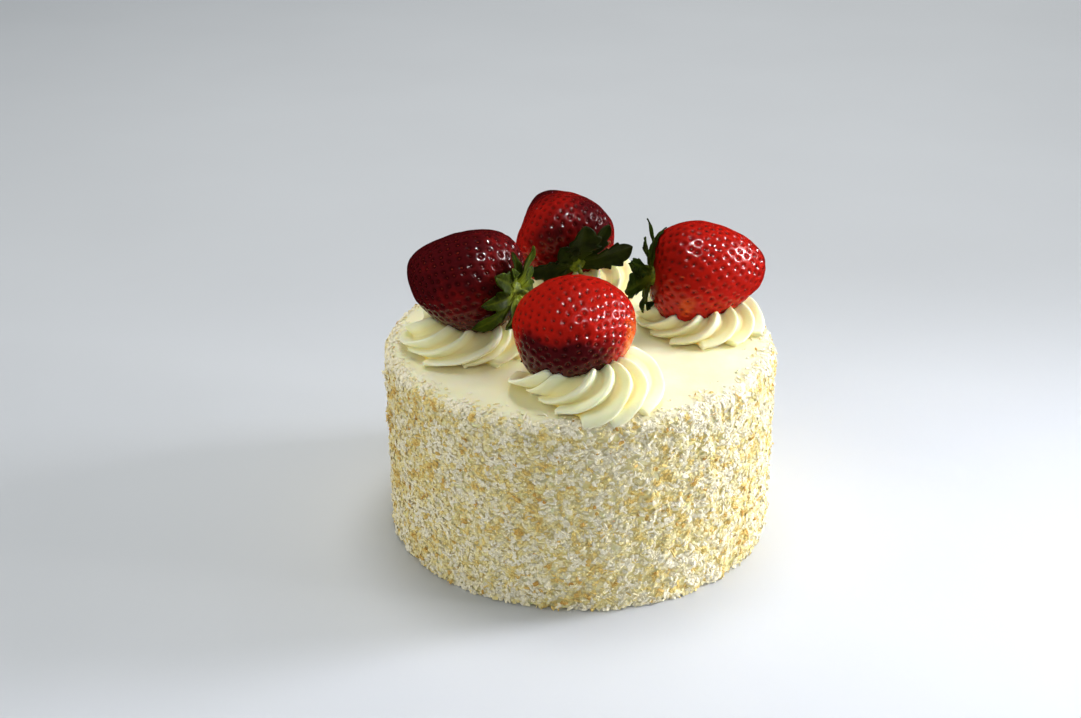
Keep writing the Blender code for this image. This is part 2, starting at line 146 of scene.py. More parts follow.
@dataclass
class Lamp:
    """A round lamp that points at a place. Spread is the angle of its beam, in degrees. It gives either
    the shading or the highlights."""

    name: str
    place: tuple
    aim: tuple
    size: float
    power: float
    spread: float = 180
    colour: tuple = (1, 1, 1)
    highlights: bool = False


@dataclass
class Ridge:
    """A ridge of a rosette: the bearing and reach of its foot, and how far it winds by the crown."""

    bearing: float
    reach: float = 0.0275
    winding: float = 64


@dataclass
class Rosette:
    """A piped rosette. Its ridges wind inwards, anticlockwise seen from above."""

    node: str
    centre: tuple
    height: float
    ridges: tuple


@dataclass
class Spot:
    """A part of a berry's skin that stands out (a lump, in shares of its size) or is darker (a patch) by
    an amount, or lighter and more orange below 0; some patches are painted shade and painted light. Polar
    runs from the leaves (0) to the tip (180 degrees)."""

    polar: float
    around: float
    spread: float
    amount: float


@dataclass
class Sepal:
    """One leaf of a berry's green cap. Around is its bearing about the berry's axis, with 90 degrees up.
    Lean is how far it stands off the shoulder at its root, and curl how far it bends back by its tip.
    The larger broad is, the nearer the tip its widest part lies."""

    around: float
    length: float
    width: float
    lean: float = 15
    curl: float = 40
    teeth: int = 0
    broad: float = 0.9


@dataclass
class Berry:
    """A strawberry lying on its side. Its axis runs from the leaves to the tip, towards its azimuth and
    tilted up. Taper narrows it to the tip. The smaller bluntness is, the blunter its ends are."""

    name: str
    centre: tuple
    azimuth: float
    tilt: float
    length: float
    width: float
    thickness: float
    taper: float
    bluntness: float
    ripeness_and_painted_light: float
    patches: tuple
    lumps: tuple
    sepals: tuple
    roll: float = 0
    creased: bool = False


def even_ridges(count, start, reach):
    return tuple(Ridge(start + 360 * i / count, reach) for i in range(count))


LAMPS = (
    Lamp("key", KEY_PLACE, KEY_AIM, size=0.25, power=0.82, spread=NARROW, colour=COOL_LIGHT),
    Lamp("key_glint", KEY_PLACE, KEY_AIM, size=0.16, power=2.8, spread=NARROW, highlights=True),
    Lamp("right", (1.30, -0.10, 0.30), CAKE_MIDDLE, size=0.6, power=1.90, spread=100, colour=COOL_LIGHT),
    Lamp("overhead", (0.06, 0.48, 1.99), (0.06, 0.48, 0), size=1.0, power=9.6, spread=117),
    Lamp("glint", (0.24, -0.36, 1.30), (0, 0, 0.1), size=0.12, power=1.7, spread=NARROW, highlights=True),
    Lamp("fill", (0.10, -1.60, 1.00), (0, 0, 0.05), size=0.9, power=3.6),
    Lamp("low_left", (-3.0, -0.2, 0.35), CAKE_MIDDLE, size=0.5, power=0.86, spread=30),
    Lamp("low_right", (3.0, -0.6, 0.45), CAKE_MIDDLE, size=0.5, power=0.70, spread=30),
    Lamp("backdrop", (0.80, 2.20, 1.10), (0.5, 1.7, 0.0), size=1.0, power=4.5, spread=120),
)

ROSETTES = [
    Rosette(
        node="rosette_front", centre=(0.0035, -0.0540), height=0.0175,
        ridges=(
            Ridge(-205, 0.0318, 66), Ridge(-178, 0.0243, 50), Ridge(-153, 0.0216, 74),
            Ridge(-121, 0.0242, 69), Ridge(-93, 0.0283, 57), Ridge(-69, 0.0290, 56),
            Ridge(-41, 0.0303, 80), Ridge(-5, 0.0280), Ridge(32), Ridge(72, 0.0270), Ridge(113, 0.0280),
        ),
    ),
    Rosette(
        node="rosette_right", centre=(0.0500, 0.0105), height=0.0145,
        ridges=(
            Ridge(-181, 0.0258), Ridge(-150, 0.0242, 62), Ridge(-120, 0.0262, 55), Ridge(-89, 0.0268, 52),
            Ridge(-58, 0.0274, 50), Ridge(-26, 0.0286, 62), Ridge(10, 0.0280), Ridge(43, 0.0280),
            Ridge(76), Ridge(110), Ridge(144, 0.0270),
        ),
    ),
    Rosette(
        node="rosette_back", centre=(-0.0010, 0.0520), height=0.0165,
        ridges=even_ridges(11, -54, 0.0283),
    ),
    Rosette(
        node="rosette_left", centre=(-0.0455, -0.0090), height=0.0170,
        ridges=(
            Ridge(-192, 0.0290, 84), Ridge(-158, 0.0268, 80), Ridge(-125, 0.0300, 86),
            Ridge(-90, 0.0262, 70), Ridge(-62, 0.0285, 60), Ridge(-34), Ridge(-1), Ridge(33), Ridge(68),
            Ridge(102), Ridge(135, 0.0280, 78),
        ),
    ),
]

BERRIES = [
    Berry(
        name="front", centre=(-0.0025, -0.0500, 0.1065),
        azimuth=-92, tilt=-4, roll=5,
        length=0.0420, width=0.0480, thickness=0.0390,
        taper=0.27, bluntness=0.82, ripeness_and_painted_light=0.16, creased=True,
        # The first patch paints shade on the lower left, and the second paints light on the lower right.
        patches=(Spot(136, 238, 0.85, 0.55), Spot(106, 345, 0.50, -0.45)),
        lumps=(
            Spot(108, 238, 0.60, 0.20), Spot(90, 200, 0.45, -0.03), Spot(90, 130, 0.60, -0.035),
            Spot(110, 308, 0.45, 0.04),
        ),
        sepals=(
            Sepal(15, 0.0140, 0.0075), Sepal(60, 0.0130, 0.0065, lean=5),
            Sepal(105, 0.0130, 0.0070, lean=10), Sepal(148, 0.0130, 0.0065, lean=5),
            Sepal(192, 0.0280, 0.0085, lean=-4, curl=10), Sepal(222, 0.0320, 0.0090, lean=-6, curl=6),
            Sepal(275, 0.0120, 0.0060, lean=10), Sepal(325, 0.0140, 0.0070, lean=12),
        ),
    ),
    Berry(
        name="right", centre=(0.0531, 0.0126, 0.1065),
        azimuth=16, tilt=-2,
        length=0.0510, width=0.0390, thickness=0.0433,
        taper=0.27, bluntness=0.88, ripeness_and_painted_light=0.34,
        # The second and third patches paint the orange glow of light bounced from the cream on the lower
        # left.
        patches=(Spot(175, 0, 0.45, 0.5), Spot(60, 205, 0.45, -0.15), Spot(54, 203, 0.22, -0.24)),
        lumps=(Spot(125, 270, 0.45, -0.05), Spot(40, 80, 0.60, -0.02), Spot(65, 245, 0.65, 0.09)),
        sepals=(
            Sepal(94, 0.0262, 0.0030, lean=-13, curl=-46),
            Sepal(111, 0.0220, 0.0064, lean=21, curl=6, teeth=5, broad=1.0),
            Sepal(71, 0.0205, 0.0070, lean=-9, curl=44, teeth=3, broad=1.2),
            Sepal(124, 0.0150, 0.0100, lean=60, curl=4, teeth=4, broad=1.4),
            Sepal(31, 0.0115, 0.0075, lean=70, curl=10, broad=1.2),
            Sepal(189, 0.0190, 0.0150, lean=66, curl=10, teeth=5, broad=1.3),
            Sepal(266, 0.0262, 0.0080, lean=12, curl=42, teeth=3, broad=1.2),
            Sepal(231, 0.0170, 0.0070, lean=29, curl=12, broad=1.2), Sepal(350, 0.0140, 0.0070, lean=10),
            Sepal(311, 0.0130, 0.0070, lean=26),
        ),
    ),
    Berry(
        name="back", centre=(-0.0088, 0.0500, 0.1098),
        azimuth=113, tilt=25,
        length=0.0420, width=0.0440, thickness=0.0445,
        taper=0.42, bluntness=0.92, ripeness_and_painted_light=0.40,
        patches=(Spot(150, 60, 0.60, 0.7), Spot(60, 120, 0.60, 0.5), Spot(45, 48, 0.35, 0.30)),
        lumps=(Spot(105, 20, 0.40, -0.10), Spot(70, 0, 0.50, 0.03), Spot(150, 60, 0.50, 0.05)),
        sepals=(
            Sepal(89, 0.0240, 0.0170, lean=16, curl=28, teeth=4, broad=1.5),
            Sepal(122, 0.0235, 0.0105, lean=8, curl=28, teeth=3, broad=1.6),
            Sepal(161, 0.0255, 0.0170, lean=14, curl=20, teeth=4, broad=1.6),
            Sepal(52, 0.0155, 0.0125, lean=17, curl=35, teeth=3, broad=1.3),
            Sepal(3, 0.0235, 0.0130, lean=13, curl=30, teeth=5, broad=1.3),
            Sepal(321, 0.0140, 0.0085, lean=17, broad=1.1),
            Sepal(213, 0.0150, 0.0100, lean=23, curl=30, teeth=3, broad=1.2),
        ),
    ),
    Berry(
        name="left", centre=(-0.0469, -0.0086, 0.1113),
        azimuth=152, tilt=1,
        length=0.0490, width=0.0450, thickness=0.0405,
        taper=0.30, bluntness=0.90, ripeness_and_painted_light=0.80,
        patches=(Spot(40, 80, 0.50, -0.10), Spot(60, 0, 0.50, -0.12)),
        lumps=(Spot(165, 90, 0.50, 0.06), Spot(60, 90, 0.55, 0.09), Spot(120, 315, 0.55, 0.07)),
        sepals=(
            Sepal(95, 0.0215, 0.0058, lean=33, curl=20, broad=1.2),
            Sepal(78, 0.0185, 0.0060, lean=18, curl=30, broad=1.0),
            Sepal(56, 0.0165, 0.0062, lean=26, curl=20, teeth=2, broad=1.0),
            Sepal(35, 0.0225, 0.0098, lean=24, curl=42, teeth=3, broad=1.3),
            Sepal(2, 0.0225, 0.0092, lean=18, curl=56, teeth=3, broad=1.3),
            Sepal(332, 0.0260, 0.0085, lean=7, curl=60, teeth=2, broad=1.3),
            Sepal(296, 0.0165, 0.0080, lean=18, broad=1.1),
            Sepal(262, 0.0140, 0.0065, lean=30, curl=20, broad=1.0),
            Sepal(223, 0.0130, 0.0065, lean=26, curl=30), Sepal(186, 0.0130, 0.0070, lean=17, curl=35),
            Sepal(147, 0.0130, 0.0065, lean=20, curl=35),
        ),
    ),
]


# ---- Mesh helpers ----


def add_attribute(piece, name, values):
    layer = piece.data.attributes.new(name, "FLOAT", "POINT")
    layer.data.foreach_set("value", np.asarray(values, np.float32).ravel())


def mesh_object(name, points, faces, surface, tint=None, smooth=True):
    """A mesh as an object. Tint is a number for each point, which its material may read."""
    mesh = bpy.data.meshes.new(name)
    mesh.from_pydata(np.asarray(points).reshape(-1, 3).tolist(), [], [list(map(int, f)) for f in faces])
    mesh.materials.append(surface)
    if smooth:
        mesh.shade_smooth()
    made = bpy.data.objects.new(name, mesh)
    bpy.context.scene.collection.objects.link(made)
    if tint is not None:
        add_attribute(made, "tint", tint)
    return made


def ring_quads(rings, count):
    """The faces between rings of equally many points, whose points are stored ring after ring."""
    ring, along = np.meshgrid(np.arange(rings - 1), np.arange(count), indexing="ij")
    here = ring * count
    after = (along + 1) % count
    quads = np.stack([here + along, here + after, here + after + count, here + along + count], -1)
    return quads.reshape(-1, 4)


def closed_rings(rings):
    """Points and faces of a closed skin over an array of rings, with a fan to the middle of each end."""
    rings = np.asarray(rings)
    rows, count = rings.shape[:2]
    points = np.concatenate([rings.reshape(-1, 3), [rings[0].mean(0)], [rings[-1].mean(0)]])
    faces = [tuple(quad) for quad in ring_quads(rows, count)]
    first_pole = rows * count
    last_row = (rows - 1) * count
    for i in range(count):
        j = (i + 1) % count
        faces.append((j, i, first_pole))
        faces.append((last_row + i, last_row + j, first_pole + 1))
    return points, faces


def finish_piece(piece, slot, *nodes):
    """Every piece of the cake rides on its one body; nodes are the solids that it stands for."""
    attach(piece, "root")
    if nodes:
        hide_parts(*nodes)


def smooth_step(low, high, value):
    share = np.clip((value - low) / (high - low), 0, 1)
    return share * share * (3 - 2 * share)


def noise_at(points, size, offset=0.0):
    """Smooth noise from -1 to 1 at each point, with features about that size."""
    flat = np.asarray(points).reshape(-1, 3) / size + offset
    values = np.array([noise.noise(Vector(place)) for place in flat])
    return values.reshape(np.shape(points)[:-1])


def nearest(places, targets):
    """The number of the target nearest to each place, and how far away it is."""
    tree = KDTree(len(targets))
    for index, target in enumerate(targets):
        tree.insert(target, index)
    tree.balance()
    found = [tree.find(place) for place in places.reshape(-1, 3)]
    number = np.array([index for _, index, _ in found])
    distance = np.array([away for _, _, away in found])
    return number.reshape(places.shape[:-1]), distance.reshape(places.shape[:-1])


def turned_rings(outline, corners):
    """Rings round the X axis: one for each (place along it, radius)."""
    turns = np.arange(corners) * 2 * math.pi / corners
    return np.array(
        [np.stack([np.full(corners, x), r * np.cos(turns), r * np.sin(turns)], -1) for x, r in outline]
    )


# ---- Materials ----


def new_material(name):
    made = bpy.data.materials.new(name)
    made.use_nodes = True
    return made, made.node_tree


def object_noise(tree, scale, detail=3.0):
    """Noise over the object's own coordinates, in features of about 1/scale metres."""
    place = tree.nodes.new("ShaderNodeTexCoord")
    texture = tree.nodes.new("ShaderNodeTexNoise")
    texture.inputs["Scale"].default_value = scale
    texture.inputs["Detail"].default_value = detail
    tree.links.new(place.outputs["Object"], texture.inputs["Vector"])
    return texture.outputs["Fac"]


def attribute(tree, name):
    reader = tree.nodes.new("ShaderNodeAttribute")
    reader.attribute_name = name
    return reader.outputs["Fac"]


def colour_ramp(tree, factor, *stops):
    """Colours along a factor: stops are (position, colour)."""
    ramp = tree.nodes.new("ShaderNodeValToRGB")
    elements = ramp.color_ramp.elements
    while len(elements) < len(stops):
        elements.new(0.5)
    for element, (position, colour) in zip(elements, stops):
        element.position = position
        element.color = (*colour, 1)
    tree.links.new(factor, ramp.inputs["Fac"])
    return ramp.outputs["Color"]


def mixed(tree, factor, first, second, mode="MIX"):
    """The second colour mixed into the first by a factor."""
    mix = tree.nodes.new("ShaderNodeMix")
    mix.data_type = "RGBA"
    mix.blend_type = mode
    for socket, value in ((mix.inputs[0], factor), (mix.inputs[6], first), (mix.inputs[7], second)):
        if isinstance(value, bpy.types.NodeSocket):
            tree.links.new(value, socket)
        elif isinstance(value, tuple):
            socket.default_value = (*value, 1)
        else:
            socket.default_value = value
    return mix.outputs[2]


def finished(made, colour, bump=None, **values):
    """The material with its colour, its shader's other inputs by their names, and its bump: the scale
    and detail of a noise, and the depth and strength that it is given."""
    tree = made.node_tree
    shader = tree.nodes["Principled BSDF"]
    tree.links.new(colour, shader.inputs["Base Color"])
    for name, value in values.items():
        shader.inputs[name.replace("_", " ")].default_value = value
    if bump:
        scale, detail, depth, strength = bump
        relief = tree.nodes.new("ShaderNodeBump")
        relief.inputs["Distance"].default_value = depth
        relief.inputs["Strength"].default_value = strength
        tree.links.new(object_noise(tree, scale, detail), relief.inputs["Height"])
        tree.links.new(relief.outputs["Normal"], shader.inputs["Normal"])
    return made


def cream_material(name, shade, pale):
    """Whipped cream: pale yellow, painted a deeper golden as shade where its tint is high (in the
    rosettes' valleys and between the coconut flakes), with a soft sheen and fine pores.
    """
    made, tree = new_material(name)
    surface = colour_ramp(tree, object_noise(tree, 60), (0.35, shade), (0.7, pale))
    return finished(
        made,
        # Painted shade: the tint mixes the golden shade colour into the cream.
        mixed(tree, attribute(tree, "tint"), surface, CREAM_PAINTED_SHADE),
        bump=(900, 4, 0.00012, 0.5),
        Roughness=0.45,
        Subsurface_Weight=0.5,
        Subsurface_Radius=(1.0, 0.75, 0.35),
        Subsurface_Scale=0.005,
        Specular_IOR_Level=0.12,
    )


def coconut_material(name, light, dark):
    """Shredded coconut: each shred has its own tint between two colours."""
    made, tree = new_material(name)
    shade = colour_ramp(tree, attribute(tree, "tint"), (0.0, light), (1.0, dark))
    grain = colour_ramp(tree, object_noise(tree, 1500, 2), (0.3, COCONUT_GRAIN), (0.7, (1, 1, 1)))
    colour = mixed(tree, 1.0, shade, grain, "MULTIPLY")
    return finished(made, colour, Roughness=0.6, Specular_IOR_Level=0.05)


def berry_material():
    """Strawberry skin: tint is 1 in the middle of a seed's dimple and 0 between the seeds, and darkens
    the dimples as painted shade. The other attribute is 0.8 where the skin is darkest, 0.2 where it is
    bright red and below 0 where it is orange; it holds the berry's ripeness together with painted shade
    and painted light from some of its patches and from below the front berry's lip."""
    made, tree = new_material("strawberry_skin")
    ripe = tree.nodes.new("ShaderNodeMath")
    ripe.operation = "MULTIPLY_ADD"
    tree.links.new(object_noise(tree, 170, 4), ripe.inputs[0])
    ripe.inputs[1].default_value = MOTTLING
    tree.links.new(attribute(tree, "ripe"), ripe.inputs[2])
    # Below 0.30 the skin turns orange, which on the right berry is partly a painted glow; towards 0.95 it
    # turns dark, which on the front berry is partly painted shade.
    shades = ((0.0, BERRY_UNRIPE_AND_GLOW), (0.30, BERRY_RED), (0.50, BERRY_RED), (0.95, BERRY_DARK))
    skin = colour_ramp(tree, ripe.outputs[0], *shades)
    # Painted shade: the dimples are multiplied darker.
    hollow = colour_ramp(tree, attribute(tree, "tint"), (0.1, (1, 1, 1)), (0.9, DIMPLE_PAINTED_SHADE))
    return finished(
        made,
        mixed(tree, 1.0, skin, hollow, "MULTIPLY"),
        bump=(700, 3, 0.00012, 0.35),
        Roughness=0.22,
        Coat_Weight=0.25,
        Coat_Roughness=0.03,
        Subsurface_Weight=0.06,
        Subsurface_Radius=(1.0, 0.12, 0.06),
        Subsurface_Scale=0.002,
        Specular_IOR_Level=0.09,
    )


def seed_material():
    made, tree = new_material("strawberry_seed")
    shade = colour_ramp(tree, attribute(tree, "tint"), (0.0, SEED_DARK), (1.0, SEED_PALE))
    return finished(made, shade, (2500, 2, 0.00008, 0.5), Roughness=0.18, Specular_IOR_Level=0.25)


def leaf_material(name, light, dark, fresh):
    """Strawberry leaf: tint is 1 where it is fresh green, at its root, and a little on its veins."""
    made, tree = new_material(f"strawberry_leaf_{name}")
    patches = colour_ramp(tree, object_noise(tree, 200, 3), (0.35, dark), (0.68, light))
    colour = mixed(tree, attribute(tree, "tint"), patches, fresh)
    return finished(made, colour, (1400, 3, 0.00015, 0.6), Roughness=0.5, Specular_IOR_Level=0.04)


def hub_material():
    made, tree = new_material("strawberry_hub")
    shade = colour_ramp(tree, object_noise(tree, 700, 3), (0.3, HUB_GREEN), (0.7, HUB_DARK))
    return finished(made, shade, (1500, 3, 0.0002, 0.6), Roughness=0.6, Specular_IOR_Level=0.1)


def floor_material():
    made, tree = new_material("floor")
    shade = colour_ramp(tree, object_noise(tree, 6), (0.3, FLOOR_COLOUR), (0.7, FLOOR_PALE))
    return finished(made, shade, Roughness=0.6, Specular_IOR_Level=0.2)


# ---- The cake ----

CAKE_SEGMENTS = 480
WALL_ROWS = 76
EDGE_ROWS = 10
TOP_ROWS = 40
TOP_FAN_RADIUS = 0.002
TOP_WAVES = 0.00035
TOP_WAVE_SIZE = 0.035
TOP_WAVE_FADE = 0.01
# The golden shade painted on the wall between the coconut flakes: its amount, how it changes in patches
# and where it fades out at the top.
WALL_PAINTED_SHADE = 0.36
TINT_CHANGE = 0.4
TINT_PATCH_SIZE = 0.010
TINT_FADE = (WALL_TOP - 0.001, WALL_TOP + 0.003)


def wall_relief(points):
    """How far the wall stands out at each point, in broad swellings and in clumps."""
    broad = noise_at(points, RELIEF_SIZE) * RELIEF_DEPTH
    return broad + noise_at(points, CLUMP_SIZE, 3.0) * CLUMP_DEPTH


def profile_point(along):
    """Radius, height and upward lean of the cake's skin, some way along it from its foot."""
    arc = EDGE_ROUNDING * math.pi / 2
    on_wall = np.clip(along, 0, WALL_TOP)
    on_arc = np.clip(along - WALL_TOP, 0, arc) / EDGE_ROUNDING
    on_top = np.maximum(along - WALL_TOP - arc, 0)
    radius = CAKE_RADIUS - EDGE_ROUNDING * (1 - np.cos(on_arc)) - on_top
    height = on_wall + EDGE_ROUNDING * np.sin(on_arc)
    return radius, height, on_arc


def cake_core(surface):
    """The cream-covered cake. Its wall is uneven and painted golden as shade where it shows between the
    flakes, and its top has the soft waves that a spatula leaves."""
    arc_end = WALL_TOP + EDGE_ROUNDING * math.pi / 2
    along = np.concatenate(
        [
            np.linspace(0, WALL_TOP, WALL_ROWS),
            np.linspace(WALL_TOP, arc_end, EDGE_ROWS)[1:],
            np.linspace(arc_end, arc_end + FLAT_RADIUS - TOP_FAN_RADIUS, TOP_ROWS)[1:],
        ]
    )
    radius, height, _ = profile_point(along)
    turn = np.linspace(0, 2 * math.pi, CAKE_SEGMENTS, endpoint=False)
    outward = np.stack([np.cos(turn), np.sin(turn), np.zeros_like(turn)], -1)
    rings = radius[:, None, None] * outward[None]
    rings[..., 2] = height[:, None]
    on_wall = 1 - smooth_step(WALL_TOP, arc_end, along)
    on_wall[0] = 0
    rings += outward[None] * (wall_relief(rings) * on_wall[:, None])[..., None]
    on_top = smooth_step(WALL_TOP, arc_end + TOP_WAVE_FADE, along)
    rings[..., 2] += noise_at(rings, TOP_WAVE_SIZE, 5.0) * TOP_WAVES * on_top[:, None]
    foot = rings[:1].copy()
    foot[..., :2] *= 1 - FOOT_ROUNDING / CAKE_RADIUS
    rings[1:2, :, 2] = np.maximum(rings[1:2, :, 2], FOOT_ROUNDING)
    points, faces = closed_rings(np.concatenate([foot, rings[1:]]))
    # Painted shade: the wall is painted golden in patches where it shows between the flakes, and not on
    # the top.
    gap_painted_shade = np.clip(WALL_PAINTED_SHADE + noise_at(points, TINT_PATCH_SIZE, 6.0) * TINT_CHANGE, 0, 1)
    tint = gap_painted_shade * (1 - smooth_step(*TINT_FADE, points[:, 2]))
    return mesh_object("cream_cake", points, faces, surface, tint)


# ---- The coconut ----

# A flake: its sizes, the widths of its middle and ends as shares of its own, and its lie in radians.
SHRED_RINGS = 3
SHRED_CORNERS = 3
FLAKE_COUNT = 40000
LONG_SHARE = 0.11
LONG_LENGTHS = (0.0024, 0.0038)
LONG_WIDTHS = (0.0007, 0.0011)
SHORT_LENGTHS = (0.0011, 0.0024)
SHORT_WIDTHS = (0.0009, 0.0017)
THICKNESSES = (0.00012, 0.00028)
MIDDLE_WIDTHS = (0.85, 1.1)
END_WIDTHS = (0.45, 1.0)
FLAKE_BEND = 0.12
CREST_SHIFT = 0.6
LEVEL_SHARE = 0.6
LEVEL_SPIN = 0.5
LOOSE_SPIN = 1.6
RAISED_SHARE = 0.16
RAISED_TIP = 0.36
LYING_TIP = 0.09
ROLL_TO_TIP = 1.4
SLOPE_STEP = 0.0004

# The coat: where it ends above and below, its fringe over the edge, and the layers of its flakes.
COAT_DEPTH = 0.0007
COAT_TOP = WALL_TOP + 0.0030
COAT_FOOT = 0.0006
COAT_FRINGE = 0.0022
FRINGE_SHARE = 0.06
FRINGE_WAVE = 0.0030
FRINGE_WAVE_SIZE = 0.22
FOOT_SPARE = 0.0005
LOWEST_FLAKE = 0.0009
RELIEF_FADE = 0.006
EDGE_THINNESS = 0.35
BROWN_LAYER = 0.9
WHITE_LAYER = 0.6
LAYER_SCATTER = (-0.05, 0.4)

# The shades: how they lie in patches and specks, and how much of the coat each takes.
PATCH_SIZE = 0.012
PATCH_SHARE = 0.35
SPECK_SIZE = 0.0030
SPECK_SHARE = 0.65
PATCH_MIXING = 0.28
WHITE_FRINGE = 0.30
WHITE_FRINGE_RISE = 0.002
PALE_BIAS = 1.6
BROWN_SHARE = 0.03
STREWN_LEAD = 2.0
COCONUT_KINDS = (
    ("coconut_brown", BROWN_SHARE, COCONUT_GOLDEN, COCONUT_BROWN),
    ("coconut_golden", 0.12, COCONUT_GOLD_PALE, COCONUT_GOLDEN),
    ("coconut_ivory", 0.25, COCONUT_IVORY, COCONUT_STRAW),
    ("coconut_cream", 0.25, COCONUT_PALE, COCONUT_IVORY),
    ("coconut_white", 0.35, COCONUT_WHITE, COCONUT_PALE),
)


def flake_frames(rng, skin, lean, turn, on_wall):
    """Axes of each flake: along, across and out of the coat. It lies on the skin, tipped at random."""
    out = np.stack([np.cos(turn) * np.cos(lean), np.sin(turn) * np.cos(lean), np.sin(lean)], -1)
    side = np.stack([-np.sin(turn), np.cos(turn), np.zeros_like(turn)], -1)
    up = np.cross(out, side)
    level = wall_relief(skin)
    for way in (side, up):
        rise = (wall_relief(skin + way * SLOPE_STEP) - level) / SLOPE_STEP * on_wall
        out = out - way * rise[:, None]
    out /= np.linalg.norm(out, axis=-1, keepdims=True)
    side = np.cross(up, out)
    side /= np.linalg.norm(side, axis=-1, keepdims=True)
    up = np.cross(out, side)
    count = len(turn)
    lies_level = rng.random(count) < LEVEL_SHARE
    level_spin = rng.normal(0, LEVEL_SPIN, count)
    loose_spin = rng.uniform(-LOOSE_SPIN, LOOSE_SPIN, count)
    spin = np.where(lies_level, level_spin, loose_spin)[:, None]
    raised = np.where(rng.random(count) < RAISED_SHARE, RAISED_TIP, LYING_TIP)
    tip = (rng.normal(0, 1, count) * raised)[:, None]
    roll = (rng.normal(0, 1, count) * raised * ROLL_TO_TIP)[:, None]
    flat_along = side * np.cos(spin) + up * np.sin(spin)
    flat_across = np.cross(out, flat_along)
    along = flat_along * np.cos(tip) + out * np.sin(tip)
    lifted = np.cross(along, flat_across)
    across = flat_across * np.cos(roll) + lifted * np.sin(roll)
    lift = np.cross(along, across)
    return along, across, lift, out


def flake_mesh(rng, places, frames, lengths, widths, thicknesses):
    """Bent, tapering splinters with a three-cornered section, one for each place."""
    along, across, lift, _ = frames
    count = len(places)
    bend = rng.normal(0, FLAKE_BEND, count)
    rings = []
    for share in (-0.5, 0.0, 0.5):
        narrow = rng.uniform(*(END_WIDTHS if share else MIDDLE_WIDTHS), count)
        middle = places + along * (lengths * share)[:, None]
        middle = middle + lift * (lengths * bend * (0.25 - share * share) * 4)[:, None]
        half = (widths * narrow / 2)[:, None]
        thick = (thicknesses * narrow)[:, None]
        shift = rng.uniform(-CREST_SHIFT, CREST_SHIFT, count)[:, None]
        crest = middle + lift * thick + across * half * shift
        rings.append(np.stack([middle - across * half, middle + across * half, crest], 1))
    points = np.concatenate(rings, 1)
    base = (np.arange(count) * SHRED_RINGS * SHRED_CORNERS)[:, None, None]
    sides = ring_quads(SHRED_RINGS, SHRED_CORNERS)
    quads = (base + sides[None]).reshape(-1, 4)
    caps = np.array([[2, 1, 0], [6, 7, 8]])
    ends = (base + caps[None]).reshape(-1, 3)
    return points.reshape(-1, 3), list(map(tuple, quads)) + list(map(tuple, ends))


def coat_places(rng, count):
    """Where flakes lie: all over the wall, thinning out in a ragged fringe over the rounded edge. Gives
    the turn, the way along the skin from the foot, the point of the skin and its lean there."""
    turn = rng.uniform(0, 2 * math.pi, count)
    ragged = noise_at(np.stack([np.cos(turn), np.sin(turn), turn * 0], -1), FRINGE_WAVE_SIZE, 3.0)
    top = COAT_TOP + ragged * FRINGE_WAVE
    along = rng.uniform(-FOOT_SPARE, 1, count) * (top + FOOT_SPARE)
    stray = rng.random(count) < FRINGE_SHARE
    along = np.where(stray, top + rng.exponential(COAT_FRINGE, count), along)
    along = np.maximum(along, COAT_FOOT)
    radius, height, lean = profile_point(along)
    skin = np.stack([radius * np.cos(turn), radius * np.sin(turn), height], -1)
    return turn, along, skin, lean


def flake_sizes(rng, count):
    """Length, width and thickness of each flake: a few are long shreds and most are short chips."""
    is_long = rng.random(count) < LONG_SHARE
    lengths = np.where(is_long, rng.uniform(*LONG_LENGTHS, count), rng.uniform(*SHORT_LENGTHS, count))
    widths = np.where(is_long, rng.uniform(*LONG_WIDTHS, count), rng.uniform(*SHORT_WIDTHS, count))
    return lengths, widths, rng.uniform(*THICKNESSES, count)


def toasting_order(rng, skin, along):
    """Each flake's place from the most toasted (0) to the whitest (1). Flakes of like colour lie in
    patches, the edge's fringe is white, and half of the brown ones are strewn anywhere."""
    count = len(along)
    patch = noise_at(skin, PATCH_SIZE, 9.0) * PATCH_SHARE + noise_at(skin, SPECK_SIZE, 2.0) * SPECK_SHARE
    fringe = smooth_step(WALL_TOP + WHITE_FRINGE_RISE, COAT_TOP + WHITE_FRINGE_RISE, along)
    draw = rng.random(count) * PATCH_MIXING + patch + WHITE_FRINGE * fringe
    strewn = rng.random(count) < BROWN_SHARE / 2
    draw = np.where(strewn, draw - STREWN_LEAD, draw)
    return np.argsort(np.argsort(draw)) / count


